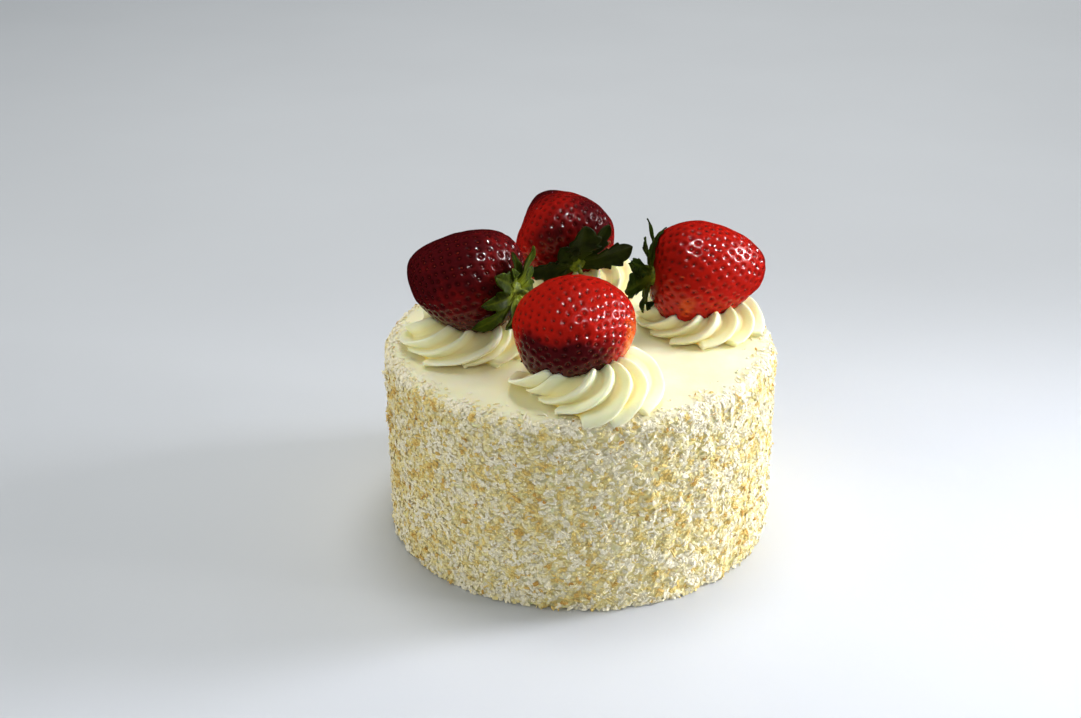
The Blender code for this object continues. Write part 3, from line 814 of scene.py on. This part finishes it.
def coconut_coat():
    """The whole coat, as one piece for each of the coconut's shades. White flakes lie outermost, with a
    few brown ones on them."""
    rng = np.random.default_rng(11)
    count = FLAKE_COUNT
    turn, along, skin, lean = coat_places(rng, count)
    on_wall = 1 - smooth_step(WALL_TOP, WALL_TOP + RELIEF_FADE, along)
    frames = flake_frames(rng, skin, lean, turn, on_wall)
    relief = wall_relief(skin) * on_wall
    sizes = flake_sizes(rng, count)
    order = toasting_order(rng, skin, along)
    layer = np.where(order < BROWN_SHARE, BROWN_LAYER, WHITE_LAYER * order)
    layer = layer + rng.uniform(*LAYER_SCATTER, count)
    depth = layer * COAT_DEPTH * (EDGE_THINNESS + (1 - EDGE_THINNESS) * on_wall)
    places = skin + frames[3] * (relief + depth)[:, None]
    places[:, 2] = np.maximum(places[:, 2], LOWEST_FLAKE)
    start = 0.0
    for name, share, light, dark in COCONUT_KINDS:
        chosen = (order >= start) & (order < start + share)
        start += share
        picked_frames = [axis[chosen] for axis in frames]
        picked_sizes = [size[chosen] for size in sizes]
        points, faces = flake_mesh(rng, places[chosen], picked_frames, *picked_sizes)
        points[:, 2] = np.maximum(points[:, 2], 0.0)
        tint = np.repeat(rng.random(int(chosen.sum())) ** PALE_BIAS, SHRED_RINGS * SHRED_CORNERS)
        surface = coconut_material(name, light, dark)
        flakes = mesh_object(name, points, faces, surface, tint, smooth=False)
        finish_piece(flakes, "coconut_crust")


# ---- The strawberries ----

SKIN_RINGS = 150
SKIN_SEGMENTS = 300
AREA_STEPS = 200
GIRTH_STEPS = 48
POLE_GAP = 0.01
SEED_SPACING = 0.0041
SEED_AREA = SEED_SPACING**2 * 0.866
SEED_STRAY_ALONG = 0.010
SEED_STRAY_AROUND = 0.02
BARE_SHOULDER = 0.30
GOLDEN_ANGLE = math.pi * (3 - math.sqrt(5))
SEED_LENGTH = 0.00120
SEED_WIDTH = 0.00078
SEED_THICKNESS = 0.00036
SEED_STATIONS = (0.10, 0.32, 0.56, 0.80, 0.95)
SEED_CORNERS = 7
SEED_SIZES = (0.85, 1.15)
SEED_SWING = 0.25
SEED_RISE = 0.15
SEED_DARKENING = 1.3
DIMPLE_DEPTH = 0.00055
DIMPLE_LENGTH = 0.00175
DIMPLE_WIDTH = 0.00140
DIMPLE_ROUNDNESS = 1.3
PALEST_DIMPLE = 0.30
SKIN_LUMPS = 0.00034
SKIN_LUMP_SIZE = 0.006
CREASE_HEIGHT = 0.0085
CREASE_WAVE = 0.0012
CREASE_WAVES = 330
CREASE_START = 0.8
CREASE_DEPTH = 0.0008
CREASE_WIDTH = 0.0016
CREASE_REACH = (0.15, 0.45)
# How much darker the skin below the front berry's lip is painted as shade, and where that painted shade
# starts and reaches.
CREASE_PAINTED_SHADE = 0.56
SHADE_EDGE = (-0.0075, 0.0015)
SHADE_REACH = (0.02, 0.30)


def berry_frame(berry):
    """The berry's own axes in the cake's frame: X to the tip, and Z up if it lies level."""
    turn = Matrix.Rotation(math.radians(berry.azimuth), 4, "Z")
    tilt = Matrix.Rotation(math.radians(-berry.tilt), 4, "Y")
    roll = Matrix.Rotation(math.radians(berry.roll), 4, "X")
    return Matrix.Translation(berry.centre) @ turn @ tilt @ roll


def placed(points, frame):
    """Points of a frame in the cake's own."""
    matrix = np.array(frame)
    return points @ matrix[:3, :3].T + matrix[:3, 3]


def bearing(polar, around):
    """Unit directions from a berry's middle, in its own axes."""
    return np.stack(
        [-np.cos(polar) + 0 * around, np.sin(polar) * np.cos(around), np.sin(polar) * np.sin(around)], -1
    )


def spot_share(facing, spot):
    """How far a spot counts at each bearing: 1 in its middle, fading over its spread."""
    middle = bearing(np.array(math.radians(spot.polar)), np.array(math.radians(spot.around)))
    away = np.linalg.norm(facing - middle, axis=-1)
    return np.exp(-((away / spot.spread) ** 2))


def berry_outline(berry, polar):
    """The berry's girth from the leaves to the tip, not yet to scale."""
    return np.maximum(np.sin(polar), 0) ** berry.bluntness * (1 + berry.taper * np.cos(polar))


def berry_points(berry, polar, around):
    """Points of the skin in the berry's own axes."""
    widest = berry_outline(berry, np.linspace(0, math.pi, 91)).max()
    radius = berry_outline(berry, polar) / widest / 2
    dimple = LEAF_DIMPLE * np.exp(-((polar / DIMPLE_SPREAD) ** 2))
    facing = bearing(polar, around)
    swell = np.ones(facing.shape[:-1])
    for lump in berry.lumps:
        swell = swell + lump.amount * spot_share(facing, lump)
    place = np.stack(
        [
            (dimple - np.cos(polar) / 2) * berry.length + 0 * around,
            radius * np.cos(around) * berry.width,
            radius * np.sin(around) * berry.thickness,
        ],
        -1,
    )
    return place * swell[..., None]


def skin_axes(berry, polar, around):
    """Skin points with their directions towards the tip, around the berry and out of the skin."""
    step = 1e-3
    polar, around = np.broadcast_arrays(polar, around)
    here = berry_points(berry, polar, around)
    along = berry_points(berry, polar + step, around) - berry_points(berry, polar - step, around)
    sideways = berry_points(berry, polar, around + step) - berry_points(berry, polar, around - step)
    out = np.cross(along, sideways)
    along, out = (
        axis / np.maximum(np.linalg.norm(axis, axis=-1, keepdims=True), 1e-12) for axis in (along, out)
    )
    facing = np.sign((out * here).sum(-1, keepdims=True))
    return here, along, np.cross(out * facing, along), out * facing


def seed_bearings(berry, rng):
    """Seeds in a golden-angle spiral, as many as keep their spacing all over the skin."""
    polar = np.linspace(POLE_GAP, math.pi - POLE_GAP, AREA_STEPS)
    around = np.linspace(0, 2 * math.pi, GIRTH_STEPS, endpoint=False)
    points = berry_points(berry, polar[:, None], around[None])
    girth = np.linalg.norm(np.roll(points, -1, 1) - points, axis=-1).sum(1)
    stride = np.linalg.norm(np.diff(points, axis=0), axis=-1).mean(1)
    area = np.concatenate([[0], np.cumsum((girth[1:] + girth[:-1]) / 2 * stride)])
    count = int(area[-1] / SEED_AREA)
    wanted = (np.arange(count) + 0.5) / count * area[-1]
    seed_polar = np.interp(wanted, area, polar) + rng.normal(0, SEED_STRAY_ALONG, count)
    seed_around = np.arange(count) * GOLDEN_ANGLE + rng.normal(0, SEED_STRAY_AROUND, count)
    keep = seed_polar > BARE_SHOULDER
    return seed_polar[keep], seed_around[keep] % (2 * math.pi)


def crease_line(here):
    """The lip's height at each point, in the berry's own axes."""
    return CREASE_HEIGHT + CREASE_WAVE * np.sin(here[..., 1] * CREASE_WAVES + CREASE_START)


def crease_offset(berry, here):
    """The front berry's blunt tip has a wavy lip across it: the skin stands out above, and in below."""
    reach = smooth_step(*CREASE_REACH, here[..., 0] / berry.length)
    return np.tanh((here[..., 2] - crease_line(here)) / CREASE_WIDTH) * reach * CREASE_DEPTH


def crease_shade(here, length):
    """1 below the lip, where the skin is painted darker as shade, and 0 above it."""
    below = 1 - smooth_step(*SHADE_EDGE, here[..., 2] - crease_line(here))
    return below * smooth_step(*SHADE_REACH, here[..., 0] / length)


def ripeness_and_painted_light(berry, polar, around):
    """How dark the skin is at each point: the berry's own ripeness and its patches, some of which are
    painted shade and painted light.
    """
    facing = bearing(polar, around)
    ripe = np.full(facing.shape[:-1], berry.ripeness_and_painted_light)
    for patch in berry.patches:
        ripe = ripe + patch.amount * spot_share(facing, patch)
    return ripe


def berry_skin(berry, seeds, surface):
    """The dimpled skin: it sinks round each seed, in an oval that points to the tip."""
    polar = np.linspace(0, math.pi, SKIN_RINGS + 1)[1:-1][:, None]
    around = np.linspace(0, 2 * math.pi, SKIN_SEGMENTS, endpoint=False)[None]
    here, _, _, out = skin_axes(berry, polar, around)
    places, along, side, _ = seeds
    near, _ = nearest(here, places)
    offset = here - places[near]
    lengthwise = (offset * along[near]).sum(-1) / DIMPLE_LENGTH
    sideways = (offset * side[near]).sum(-1) / DIMPLE_WIDTH
    sink = np.clip(1 - lengthwise**2 - sideways**2, 0, 1) ** DIMPLE_ROUNDNESS
    shift = noise_at(here, SKIN_LUMP_SIZE, 4.0) * SKIN_LUMPS - sink * DIMPLE_DEPTH
    if berry.creased:
        shift = shift + crease_offset(berry, here)
    rings = here + out * shift[..., None]
    points, faces = closed_rings(placed(rings, berry_frame(berry)))
    ripe = ripeness_and_painted_light(berry, polar, around)
    # Painted shade: the front berry's skin below the lip is darkened.
    if berry.creased:
        ripe = ripe + CREASE_PAINTED_SHADE * crease_shade(here, berry.length)
    # Painted shade in the dimples, stronger where the skin is darker.
    dark = sink * np.clip(PALEST_DIMPLE + ripe, PALEST_DIMPLE, 1)
    skin = mesh_object(f"berry_{berry.name}", points, faces, surface, np.append(dark.ravel(), [0, 0]))
    add_attribute(skin, "ripe", np.append(ripe.ravel(), [ripe[0].mean(), ripe[-1].mean()]))
    finish_piece(skin, "strawberry_skin", f"strawberry_{berry.name}")
    return skin


def seed_shape():
    """A seed of unit length: a flattened drop, pointed at one end."""
    outline = [(share - 0.5, math.sin(math.pi * share**0.8) ** 0.8 / 2) for share in SEED_STATIONS]
    return closed_rings(turned_rings(outline, SEED_CORNERS))


def all_seeds(placements, surface):
    """Every strawberry's seeds as one piece: a seed for each set of skin axes."""
    shape, shape_faces = seed_shape()
    rng = np.random.default_rng(23)
    points = []
    faces = []
    tints = []
    for here, along, side, out in placements:
        for i in range(len(here)):
            size = rng.uniform(*SEED_SIZES)
            swing = rng.normal(0, SEED_SWING)
            to_tip = along[i] * math.cos(swing) + side[i] * math.sin(swing)
            across = np.cross(out[i], to_tip)
            local = shape * (SEED_LENGTH * size, SEED_WIDTH * size, SEED_THICKNESS)
            first = len(points) * len(shape)
            points.append(here[i] + local @ np.stack([to_tip, across, out[i]]))
            faces.extend(tuple(first + corner for corner in face) for face in shape_faces)
            tints.append(np.full(len(shape), rng.random() ** SEED_DARKENING))
    seeds = mesh_object("berry_seeds", np.concatenate(points), faces, surface, np.concatenate(tints))
    finish_piece(seeds, "strawberry_skin")


def dimpled_berry(berry, surface):
    """Makes the skin. Gives a tree of its faces, and the axes of its seeds in the cake's frame."""
    rng = np.random.default_rng(len(berry.name) + int(berry.azimuth) % 97)
    polar, around = seed_bearings(berry, rng)
    here, along, side, out = skin_axes(berry, polar, around)
    skin = berry_skin(berry, (here, along, side, out), surface)
    frame = berry_frame(berry)
    turned = np.array(frame)[:3, :3].T
    shift = crease_offset(berry, here) if berry.creased else np.zeros(len(here))
    raised = here + out * (shift - DIMPLE_DEPTH + SEED_THICKNESS * SEED_RISE)[:, None]
    axes = (placed(raised, frame), along @ turned, side @ turned, out @ turned)
    mesh = skin.data
    tree = BVHTree.FromPolygons([v.co for v in mesh.vertices], [p.vertices for p in mesh.polygons])
    return tree, axes


# ---- The rosettes ----

RIDGE_COLUMNS = 30
FOOT_ROWS = 9
WOUND_ROWS = 64
CROWN_ROWS = 12
WOUND_END = 0.97
FOOT_START = -0.16
FOOT_HEIGHT = 0.14
CREST_STEPS = 160
ROPE_TOP = 0.0003
ROPE_SIDE = 0.0029
ROPE_CUT = 0.7
VALLEY_REACH = 0.0055
VALLEY_CUT = 0.3
TUCK_HEIGHT = 0.07
FOOT_TUCK = 0.0020
PRESS_GAP = 0.00015
RAY_DEPTH = 0.01
CREAM_WAVES = 0.00035
CREAM_WAVE_SIZE = 0.009
# Where the valleys are painted golden as shade and how strongly; the low pits at the foot take it in
# full.
VALLEY_EDGE = (0.45, 0.95)
VALLEY_PAINTED_SHADE = 0.40


def ring_heights():
    """The rings' heights as shares of the rosette's, closest together where the ridges wind fastest."""
    foot = np.linspace(FOOT_START, FOOT_HEIGHT, FOOT_ROWS, endpoint=False)
    wound = np.linspace(0, WOUND_END, WOUND_ROWS) ** (1 / WINDING_CURVE)
    risen = FOOT_HEIGHT + (1 - FOOT_HEIGHT) * wound
    crown = 1 - (1 - risen[-1]) * np.linspace(1, 0.1, CROWN_ROWS)[1:] ** 3
    return np.concatenate([foot, risen, crown])


def crest_lines(rosette, rise):
    """The turn and reach of every ridge's crest at each height, with the first ridge again at the end.
    A ridge stands upright at its blunt foot and winds above that."""
    wound = np.clip((rise - FOOT_HEIGHT) / (1 - FOOT_HEIGHT), 0, 1) ** WINDING_CURVE
    first = rosette.ridges[0]
    ridges = [*rosette.ridges, Ridge(first.bearing + 360, first.reach, first.winding)]
    turns = [np.radians(ridge.bearing + ridge.winding * wound) for ridge in ridges]
    reaches = [ridge.reach * (1 - rise**2) ** (SHOULDER / 2) for ridge in ridges]
    return np.array(turns), np.array(reaches)


def on_dome(rosette, turn, reach, rise):
    """Points of the rosette's dome before its valleys are cut, from its centre."""
    turn, reach, rise = np.broadcast_arrays(turn, reach, rise)
    return np.stack([reach * np.cos(turn), reach * np.sin(turn), rosette.height * rise], -1)


def crest_distance(rosette, places):
    """How far each place is from the nearest ridge's crest."""
    wound = np.linspace(0, 1, CREST_STEPS) ** (1 / WINDING_CURVE)
    rise = np.concatenate([[0, FOOT_HEIGHT / 2], FOOT_HEIGHT + (1 - FOOT_HEIGHT) * wound])
    turns, reaches = crest_lines(rosette, rise)
    crests = on_dome(rosette, turns, reaches, rise[None]).reshape(-1, 3)
    return nearest(places, crests)[1]


def sagged(places):
    """Cream that reaches past the cake's flat top bends down along its rounded edge."""
    reach = np.linalg.norm(places[..., :2], axis=-1)
    bend = np.clip((reach - FLAT_RADIUS) / EDGE_ROUNDING, 0, math.pi / 2)
    held = np.where(bend > 0, FLAT_RADIUS + EDGE_ROUNDING * np.sin(bend), reach)
    settled = places.copy()
    settled[..., :2] *= (held / np.maximum(reach, 1e-9))[..., None]
    settled[..., 2] -= EDGE_ROUNDING * (1 - np.cos(bend))
    return settled


def pressed(rings, berry_tree):
    """Cream under a berry is pressed down to just below its skin."""
    flat = rings.reshape(-1, 3)
    for place in flat:
        start = Vector((place[0], place[1], CAKE_HEIGHT - RAY_DEPTH))
        hit, _, _, _ = berry_tree.ray_cast(start, Vector((0, 0, 1)))
        if hit is not None:
            place[2] = min(place[2], hit.z - PRESS_GAP)
    return flat.reshape(rings.shape)


def rosette_skin(rosette, berry_tree, surface):
    """A piped rosette: round ridges that wind up to the crown from blunt feet, over valleys painted
    golden as shade.
    """
    rise = ring_heights()
    crests, reaches = crest_lines(rosette, rise)
    share = np.arange(RIDGE_COLUMNS) / RIDGE_COLUMNS
    blend = smooth_step(0, 1, share)
    turn_parts, reach_parts = [], []
    for i in range(len(rosette.ridges)):
        spread = crests[i + 1] - crests[i]
        turn_parts.append(crests[i][:, None] + spread[:, None] * share)
        reach_parts.append(reaches[i][:, None] + (reaches[i + 1] - reaches[i])[:, None] * blend)
    turn, reach = (np.concatenate(parts, 1) for parts in (turn_parts, reach_parts))
    level = rise[:, None]
    away = crest_distance(rosette, on_dome(rosette, turn, reach, level))
    hollow = ROPE_CUT * smooth_step(ROPE_TOP, ROPE_SIDE, away)
    hollow = hollow + VALLEY_CUT * np.clip(away / VALLEY_REACH, 0, 1)
    sunk = hollow * RIDGE_DEPTH * (1 - RIDGE_FADE * np.maximum(level, 0))
    tuck = FOOT_TUCK * (1 - smooth_step(0, TUCK_HEIGHT, level))
    steep = np.sqrt(1 - level**2)
    rings = on_dome(rosette, turn, reach - sunk * steep - tuck, level)
    rings[..., 2] -= sunk * np.maximum(level, 0)
    rings += np.array([*rosette.centre, CAKE_HEIGHT])
    rings += noise_at(rings, CREAM_WAVE_SIZE, 7.0)[..., None] * CREAM_WAVES
    rings = pressed(sagged(rings), berry_tree)
    points, faces = closed_rings(rings)
    # Painted shade: golden in the valleys, fullest in the pits at the foot.
    low = 1 - smooth_step(FOOT_HEIGHT / 2, FOOT_HEIGHT * 2, level)
    tint = smooth_step(*VALLEY_EDGE, hollow) * (VALLEY_PAINTED_SHADE + (1 - VALLEY_PAINTED_SHADE) * low)
    skin = mesh_object(f"piped_{rosette.node}", points, faces, surface, np.append(tint.ravel(), [0, 0]))
    finish_piece(skin, "whipped_cream", rosette.node)


# ---- The leaves ----

LEAF_STATIONS = 34
LEAF_COLUMNS = 9
LEAF_THICKNESS = 0.00045
ROSETTE_REACH = 0.0288
LEAF_CLEARANCE = 0.0007
LEAF_LAYERS = 0.0007
LEAF_ROOT_WIDTH = 0.10
LEAF_TIP_WIDTH = 0.05
TOOTH_DEPTH = 0.30
LEAF_WAVE = 0.0006
LEAF_WAVES = 9
VEIN_DEPTH = 0.00018
VEIN_TINT = 0.28
MIDRIB_WIDTH = 0.10
SIDE_VEINS = 7
SIDE_VEIN_SLANT = 1.4
SIDE_VEIN_WIDTH = 0.12
SIDE_VEIN_DEPTH = 0.6
FRESH_SHARE = 0.42
HUB_CORNERS = 20


def floor_height(place):
    """How high the cream stands under a point: the cake's top, or a rosette's dome."""
    height = CAKE_HEIGHT
    for rosette in ROSETTES:
        away = math.dist(place.xy, rosette.centre) / ROSETTE_REACH
        if away < 1:
            height = max(height, CAKE_HEIGHT + rosette.height * math.sqrt(1 - away ** (2 / SHOULDER)))
    return height


def clear_of(place, trees, clearance):
    """Moves a leaf's point out of the berries and up off the cream."""
    for tree in trees:
        near, outward, _, distance = tree.find_nearest(place)
        inside = (place - near).dot(outward) < 0
        if inside or distance < clearance:
            place = near + outward * clearance
    place.z = max(place.z, floor_height(place) + clearance)
    return place


def sepal_width(share, broad):
    """A leaf's width, as a share of its widest, from root to tip."""
    reach = LEAF_ROOT_WIDTH + (1 - LEAF_ROOT_WIDTH) * share**broad
    return max(LEAF_TIP_WIDTH, math.sin(math.pi * reach) ** 0.8)


def tooth(share, teeth):
    """How far the edge is cut in between saw teeth that point to the tip."""
    if not teeth:
        return 0.0
    return TOOTH_DEPTH * (1 - (share * teeth) % 1.0)


def vein(across, share):
    """1 on the midrib or a side vein, 0 between them. Side veins slant towards the tip."""
    midrib = math.exp(-((across / MIDRIB_WIDTH) ** 2))
    phase = (share * SIDE_VEINS - abs(across) * SIDE_VEIN_SLANT) % 1.0
    side = math.exp(-(((phase - 0.5) / SIDE_VEIN_WIDTH) ** 2)) * SIDE_VEIN_DEPTH
    return max(midrib, side * min(abs(across) * 4, 1))


def sepal_rows(berry, sepal, frame, trees, rng):
    """A leaf's middle surface: rows of points from root to tip, with a tint for each."""
    around = math.radians(sepal.around)
    outward = Vector((0, math.cos(around), math.sin(around)))
    across = Vector((0, -math.sin(around), math.cos(around)))
    root = HUB_RADIUS * SEPAL_ROOT
    order = berry.sepals.index(sepal) / len(berry.sepals)
    clearance = LEAF_CLEARANCE + LEAF_LAYERS * order
    pole = Vector(berry_points(berry, np.array(0.0), np.array(0.0)))
    place = pole - Vector((clearance, 0, 0)) + outward * root
    step = (sepal.length - root) / (LEAF_STATIONS - 1)
    phase = rng.uniform(0, 6)
    rows = []
    tints = []
    for i in range(LEAF_STATIONS):
        share = i / (LEAF_STATIONS - 1)
        lean = math.radians(sepal.lean - sepal.curl * share)
        along = outward * math.cos(lean) + Vector((-math.sin(lean), 0, 0))
        lift = outward * math.sin(lean) + Vector((math.cos(lean), 0, 0))
        half = sepal.width * sepal_width(share, sepal.broad) / 2 * (1 - tooth(share, sepal.teeth))
        for k in range(LEAF_COLUMNS):
            side = 2 * k / (LEAF_COLUMNS - 1) - 1
            fold = SEPAL_FOLD * half * abs(side)
            wave = LEAF_WAVE * math.sin(share * LEAF_WAVES + phase + side) * abs(side)
            sunk = fold + wave - VEIN_DEPTH * vein(side, share)
            point = place + across * half * side - lift * sunk
            rows.append(clear_of(frame @ point, trees, clearance))
            tints.append(max(vein(side, share) * VEIN_TINT, 1 - share / FRESH_SHARE))
        place = place + along * step
    return rows, tints


def applied(piece):
    """The piece with its modifiers applied."""
    bpy.context.view_layer.update()
    evaluated = piece.evaluated_get(bpy.context.evaluated_depsgraph_get())
    result = bpy.data.meshes.new_from_object(evaluated)
    piece.modifiers.clear()
    piece.data = result
    return piece


def leaf_body(name, berry, sepal, frame, trees, rng, surface):
    """A leaf as a thin closed body."""
    rows, tints = sepal_rows(berry, sepal, frame, trees, rng)
    faces = []
    for i in range(LEAF_STATIONS - 1):
        for k in range(LEAF_COLUMNS - 1):
            here = i * LEAF_COLUMNS + k
            faces.append((here, here + 1, here + LEAF_COLUMNS + 1, here + LEAF_COLUMNS))
    leaf = mesh_object(name, rows, faces, surface, tints)
    solid = leaf.modifiers.new("thickness", "SOLIDIFY")
    solid.thickness = LEAF_THICKNESS
    solid.offset = 0
    return applied(leaf)


def hub_body(berry, frame, surface):
    """The green button that the leaves grow from, and the stub of the stalk."""
    root = berry_points(berry, np.array(0.0), np.array(0.0))[0]
    hub_end = root - HUB_HEIGHT
    outline = (
        (root, HUB_RADIUS),
        (root - HUB_HEIGHT * 0.6, HUB_RADIUS * 0.9),
        (root - HUB_HEIGHT * 0.9, HUB_RADIUS * 0.55),
        (hub_end, STALK_RADIUS * 1.7),
        (hub_end - STALK_LENGTH * 0.3, STALK_RADIUS),
        (hub_end - STALK_LENGTH * 0.7, STALK_RADIUS * 0.92),
        (hub_end - STALK_LENGTH, STALK_RADIUS * 0.9),
    )
    points, faces = closed_rings(placed(turned_rings(outline, HUB_CORNERS), frame))
    return mesh_object(f"hub_{berry.name}", points, faces, surface)


def joined(pieces, name):
    """Joins meshes into one object of that name."""
    bpy.ops.object.select_all(action="DESELECT")
    for piece in pieces:
        piece.select_set(True)
    bpy.context.view_layer.objects.active = pieces[0]
    bpy.ops.object.join()
    pieces[0].name = name
    return pieces[0]


def calyx(berry, trees, leaf_surface, hub_surface):
    """A berry's leaves with the hub and stalk, as one piece."""
    rng = random.Random(berry.name)
    frame = berry_frame(berry)
    leaves = [
        leaf_body(f"leaf_{berry.name}_{i}", berry, sepal, frame, trees, rng, leaf_surface)
        for i, sepal in enumerate(berry.sepals)
    ]
    hub = hub_body(berry, frame, hub_surface)
    green = joined(leaves + [hub], f"leaves_{berry.name}")
    finish_piece(green, "strawberry_leaf", f"calyx_{berry.name}")


# ---- The studio ----


def soft_light(lamp):
    data = bpy.data.lights.new(lamp.name, "AREA")
    data.shape = "DISK"
    data.size = lamp.size
    data.energy = lamp.power
    data.color = lamp.colour
    data.spread = math.radians(lamp.spread)
    light = bpy.data.objects.new(lamp.name, data)
    light.location = lamp.place
    towards = Vector(lamp.aim) - Vector(lamp.place)
    light.rotation_euler = towards.to_track_quat("-Z", "Y").to_euler()
    light.visible_glossy = lamp.highlights
    light.visible_diffuse = not lamp.highlights
    bpy.context.scene.collection.objects.link(light)


def floor_plane():
    """A plain pale floor."""
    corners = [(x * FLOOR_HALF, y * FLOOR_HALF, 0) for x, y in ((-1, -1), (1, -1), (1, 1), (-1, 1))]
    floor = mesh_object("floor", corners, [(0, 1, 2, 3)], floor_material())
    floor.visible_glossy = False


def studio():
    """The floor, the lamps round the cake and a weak, bluish sky."""
    floor_plane()
    for lamp in LAMPS:
        soft_light(lamp)
    world = bpy.data.worlds.new("sky")
    world.use_nodes = True
    sky = world.node_tree.nodes["Background"]
    sky.inputs["Color"].default_value = (*SKY_COLOUR, 1)
    sky.inputs["Strength"].default_value = SKY_STRENGTH
    bpy.context.scene.world = world
    world.cycles_visibility.glossy = False


def camera():
    lens = bpy.data.cameras.new("camera")
    lens.lens = CAMERA_LENS
    lens.sensor_width = SENSOR_WIDTH
    lens.sensor_fit = "HORIZONTAL"
    eye = bpy.data.objects.new("camera", lens)
    eye.location = CAMERA_PLACE
    eye.rotation_euler = tuple(math.radians(angle) for angle in CAMERA_TURN)
    bpy.context.scene.collection.objects.link(eye)
    bpy.context.scene.camera = eye
    bpy.context.scene.view_settings.view_transform = "Standard"


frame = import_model()
camera()
studio()

core = cake_core(cream_material("cake_cream", CREAM, CREAM_PALE))
finish_piece(core, "whipped_cream", "iced_cake")
coconut_coat()

skin_surface = berry_material()
dimpled = [dimpled_berry(berry, skin_surface) for berry in BERRIES]
berry_trees = [tree for tree, _ in dimpled]
all_seeds([axes for _, axes in dimpled], seed_material())

piped_cream = cream_material("piped_cream", PIPED_CREAM, PIPED_PALE)
for rosette, tree in zip(ROSETTES, berry_trees):
    rosette_skin(rosette, tree, piped_cream)

hub_surface = hub_material()
for berry in BERRIES:
    calyx(berry, berry_trees, leaf_material(berry.name, *LEAF_SHADES[berry.name]), hub_surface)
